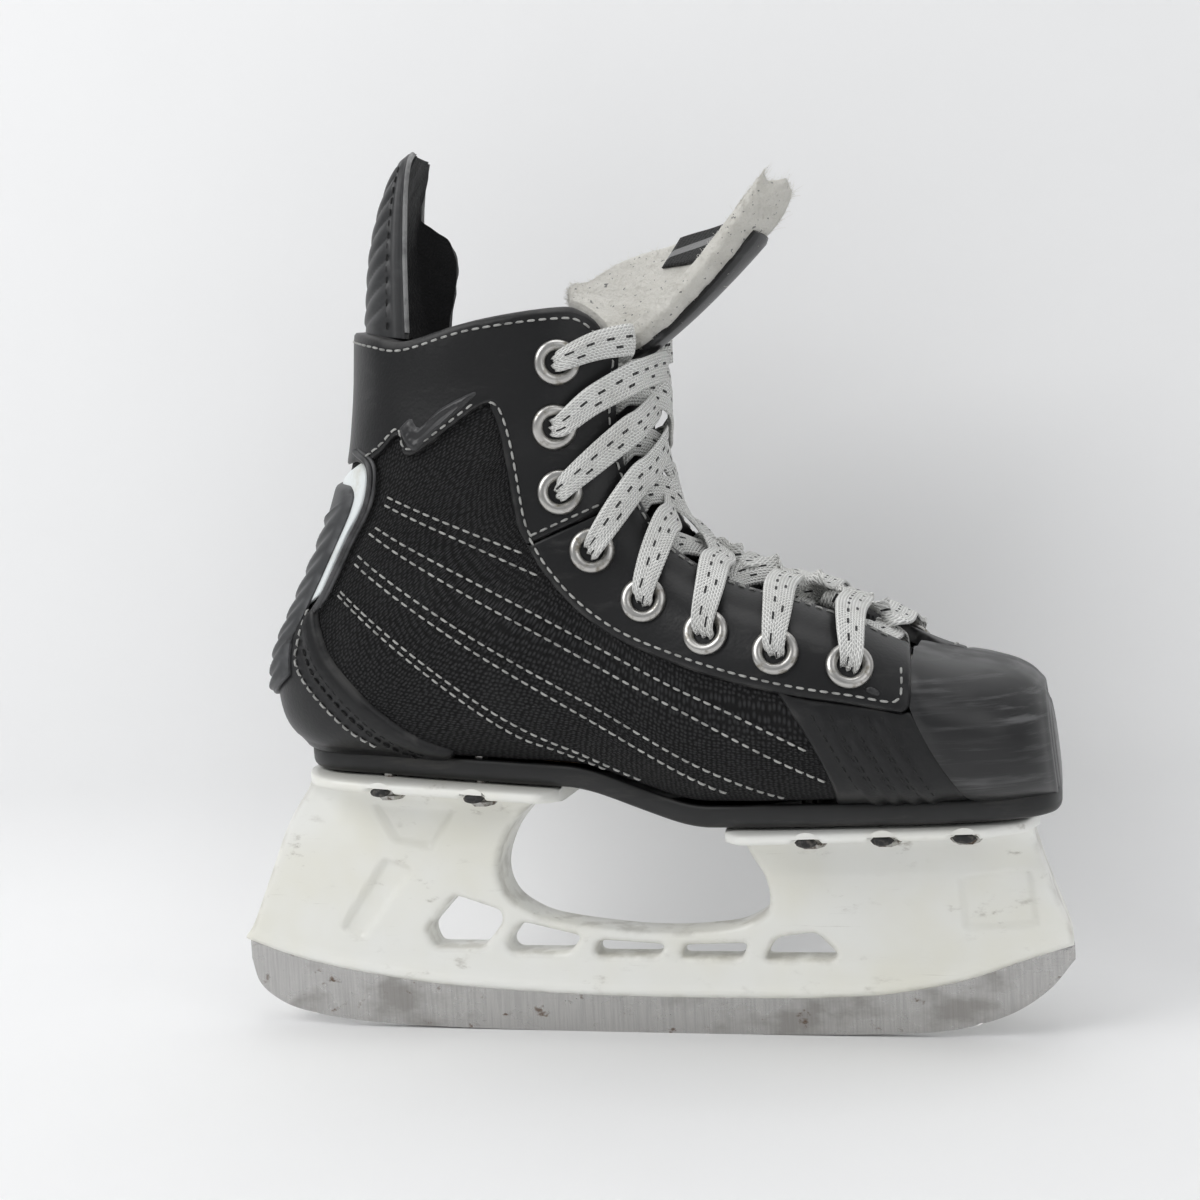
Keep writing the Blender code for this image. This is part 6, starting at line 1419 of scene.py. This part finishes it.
# ---------------------------------------------------------------- tendon guard
# The tendon guard is a flexible moulded flap with six curved ribs, sewn into the collar and edged
# with grey piping. Inside it has a black brushed lining that stands out past its far edge.
GUARD_ROWS = [(193.0, -66.5, 17.0, 15.0, 21.0, 2.0), (201.0, -65.6, 16.0, 12.5, 20.0, 5.5),
              (211.0, -64.4, 14.8, 8.6, 19.0, 10.2), (219.0, -62.6, 13.2, 6.4, 18.0, 8.6),
              (226.0, -60.2, 11.0, 4.6, 17.0, 0.0), (232.0, -57.4, 8.4, 3.0, 15.5, 0.0),
              (237.0, -54.4, 5.4, 1.8, 12.5, 0.0), (240.0, -51.8, 2.6, 0.8, 8.0, 0.0)]
GUARD_THICK, RIB_RISE = 2.2, 0.9


def guard_surface(r, t, depth, reach=1.0):
    """The guard's surface: up it from 0 to 7, round it from -1 to 1, and depth inward."""
    r, t, depth = np.broadcast_arrays(*(np.asarray(v, float) for v in (r, t, depth)))
    z, back_x, lateral, medial, half, shoulder = np.moveaxis(spline_rows(GUARD_ROWS, r), -1, 0)
    turn = t * reach * pi / 2
    wrap = 1.0 - np.cos(np.abs(turn))
    x = back_x + np.where(t < 0, lateral, medial) * wrap
    y = half * np.sin(turn)
    inward = np.stack([back_x + 14.0 - x, -y, np.zeros_like(x)], -1)
    side_in = np.stack([np.full_like(x, 0.15), -np.sign(t), np.zeros_like(x)], -1)
    inward = inward / (np.linalg.norm(inward, axis=-1, keepdims=True) + 1e-9)
    turn_over = np.clip((wrap - 0.75) / 0.2, 0.0, 1.0)[..., None]
    inward = inward * (1 - turn_over) + side_in * turn_over
    dip = np.clip(1.0 - r, 0.0, 1.0) * np.minimum(1.5, np.interp(x,
                                                                 *np.array(COLLAR_TOP[::-1]).T) + 0.8 - 193.0)
    return np.stack([x, y, z + dip], -1) + inward * depth[..., None]


guard_rows, guard_columns = 110, 90
gr, gt = np.meshgrid(np.linspace(0.0, 7.0, guard_rows), np.linspace(-1.0, 1.0, guard_columns), indexing="ij")
height_way = spline_rows(GUARD_ROWS, gr)[..., 0]
half_way = spline_rows(GUARD_ROWS, gr)[..., 4]
guard_rim = np.minimum((1.0 - np.abs(gt)) * half_way * 1.35, 241.0 - height_way)
field = np.clip((guard_rim - 4.2) / 0.8, 0.0, 1.0) * np.clip((height_way - 194.5) / 1.0, 0.0, 1.0)
phase = (height_way - 196.0) / 5.6 - np.abs(gt) * 2.3
ridges = np.abs(np.sin(phase * pi)) ** 0.6
rise = field * (RIB_RISE * ridges - 0.35) + 0.3 * np.exp(-((guard_rim - 3.0) / 1.2) ** 2)
rounding = 0.9 * (1.0 - np.sqrt(1.0 - np.clip(1.0 - guard_rim / 1.2, 0.0, 1.0) ** 2))
faces = np.array(quads(guard_rows, guard_columns, False))
outer = guard_surface(gr, gt, rounding - rise).reshape(-1, 3)
inner = guard_surface(gr, gt, GUARD_THICK).reshape(-1, 3)
guard_plastic = make_moulding("guard_plastic", (0.022, 0.0225, 0.0235), 0.42)
guard = mesh_piece("ribbed_guard", *closed_from(outer, inner, faces), guard_plastic,
                   rim=np.tile(guard_rim.ravel(), 2), sharp=60)
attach(guard, "tendon_guard")
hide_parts("guard_shell", "guard_rib_panel")

lining_rows, lining_columns = 90, 80
lr, lt = np.meshgrid(np.linspace(0.0, 6.7, lining_rows), np.linspace(-0.94, 1.0, lining_columns),
                     indexing="ij")
shoulder = spline_rows(GUARD_ROWS, lr)[..., 5]
wing = np.clip((lt - 0.80) / 0.20, 0.0, 1.0)
base = guard_surface(lr, np.minimum(lt, 0.95), GUARD_THICK + 0.3)
base[..., 0] += shoulder * wing * (1.0 + 0.06 * ripple(base.reshape(-1, 3), 3.0, 8.0).reshape(wing.shape))
deep = guard_surface(lr, np.minimum(lt, 0.95), GUARD_THICK + 2.9 - 2.2 * (lr / 6.7) ** 1.5)
deep[..., 0] += shoulder * wing
deep = deep.reshape(-1, 3) + 0.5 * ripple(deep.reshape(-1, 3), 4.0, 3.0)[:, None] * np.array((1.0, 0.4, 0.0))
faces = np.array(quads(lining_rows, lining_columns, False))
brushed, tree, shader = new_material("brushed_lining", (0.006, 0.006, 0.007), 0.95, Sheen_Weight=0.15)
pile = add(tree, "TexNoise", {"Scale": 1900.0, "Detail": 5.0,
                              "Vector": add(tree, "TexCoord").outputs["Object"]}).outputs["Fac"]
feed(shader, "Base Color", two_tone(tree, pile, (0.003, 0.003, 0.0035), (0.018, 0.018, 0.019)))
raised(tree, shader, pile, 0.5)
lining = mesh_piece("guard_brushed_lining", *closed_from(base.reshape(-1, 3), deep, faces), brushed, sharp=80)
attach(lining, "tendon_guard")
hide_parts("guard_lining")
edge_rows = np.linspace(0.2, 6.95, 70)
piping_runs = []
for t in (-1.0, 1.0):
    line = guard_surface(edge_rows, np.full(70, t), 1.1)
    piping_runs.append(tube(line, 0.72, 10, np.array((1.0, 0.0, 0.0))))
grey_thread = make_thread("grey_piping", (0.42, 0.42, 0.42))
piping = join("guard_piping", piping_runs, grey_thread)
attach(piping, "tendon_guard")
lines = []
for t in (-0.80, 0.80):
    line = guard_surface(edge_rows[:60], np.full(60, t), -0.25)
    normal = line - guard_surface(edge_rows[:60], np.full(60, t), 1.0)
    lines += stitches(line, normal / np.linalg.norm(normal, axis=1)[:, None], 3.0, 1.9, 0.22)
guard_stitching = join("guard_stitching", lines, black_thread)
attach(guard_stitching, "tendon_guard")

# ---------------------------------------------------------------- floor, light and camera
# A pale sweep of paper stands close behind the skate, lit by a large soft window on the left.
camera_data = bpy.data.cameras.new("camera")
camera_data.lens = 55.0
camera_data.clip_start = 0.01
camera = bpy.data.objects.new("camera", camera_data)
bpy.context.collection.objects.link(camera)
bpy.context.scene.camera = camera
AIM, AWAY = Vector((-0.0062, 0.0, 0.1184)), 0.4942
AROUND, ABOVE, LEAN = radians(14.0), radians(4.0), radians(-3.19)
back = Vector((sin(AROUND) * cos(ABOVE), -cos(AROUND) * cos(ABOVE), sin(ABOVE)))
right = Vector((cos(AROUND), sin(AROUND), 0.0))
up = right.cross(-back)
right, up = right * cos(LEAN) + up * sin(LEAN), -right * sin(LEAN) + up * cos(LEAN)
camera.matrix_world = Matrix.Translation(AIM + back * AWAY) @ Matrix((right, up, back)).transposed().to_4x4()

WALL_Y, BEND, SWEEP_REACH = 110.0, 50.0, 1500.0
profile = [(-SWEEP_REACH, 0.0), (-300.0, 0.0)]
profile += [(WALL_Y - BEND + BEND * sin(a), BEND - BEND * cos(a)) for a in np.linspace(0.0, pi / 2, 14)]
profile += [(WALL_Y, 400.0), (WALL_Y, SWEEP_REACH)]
points = [(x, y, z) for x in (-SWEEP_REACH, SWEEP_REACH) for y, z in profile]
count = len(profile)
paper, tree, shader = new_material("paper", (0.90, 0.90, 0.90), 0.8)
feed(shader, "Base Color", two_tone(tree, placed(tree, PATCHES, Stretch=(3.0, 3.0, 3.0), Low=0.3,
                                                 High=0.8)["Mask"],
                        (0.90, 0.90, 0.90), (0.87, 0.87, 0.87)))
clear = add(tree, "BsdfTransparent")
facing = add(tree, "NewGeometry").outputs["Backfacing"]
either = add(tree, "MixShader", {0: facing, 1: shader.outputs[0], 2: clear.outputs[0]})
tree.links.new(either.outputs[0], tree.nodes["Material Output"].inputs["Surface"])
sweep = mesh_piece("paper_sweep", points, [[k, k + 1, k + 1 + count,
                                            k + count] for k in range(count - 1)], paper)
if sweep.data.polygons[0].normal.z < 0:
    sweep.data.flip_normals()
sweep.visible_shadow = False
for name, place, aim, size, power in (
        ("window", (-0.75, -0.75, 0.95), (0.0, 0.0, 0.10), 0.9, 7.6), ("fill", (0.9, -0.9, 0.7),
                                                                       (0.0, 0.0, 0.10), 1.0, 2.5),
        ("top", (0.1, -0.15, 1.2), (0.0, 0.0, 0.10), 0.8, 3.0)):
    lamp = bpy.data.lights.new(name, "AREA")
    lamp.shape = "DISK"
    lamp.size = size
    lamp.energy = power
    stand = bpy.data.objects.new(name, lamp)
    bpy.context.collection.objects.link(stand)
    stand.location = place
    stand.rotation_euler = (Vector(place) - Vector(aim)).to_track_quat("Z", "Y").to_euler()
sky = bpy.data.worlds.new("sky")
sky.use_nodes = True
sky.node_tree.nodes["Background"].inputs["Color"].default_value = (0.95, 0.97, 1.0, 1.0)
sky.node_tree.nodes["Background"].inputs["Strength"].default_value = 0.38
bpy.context.scene.world = sky
bpy.context.scene.view_settings.view_transform = "Standard"
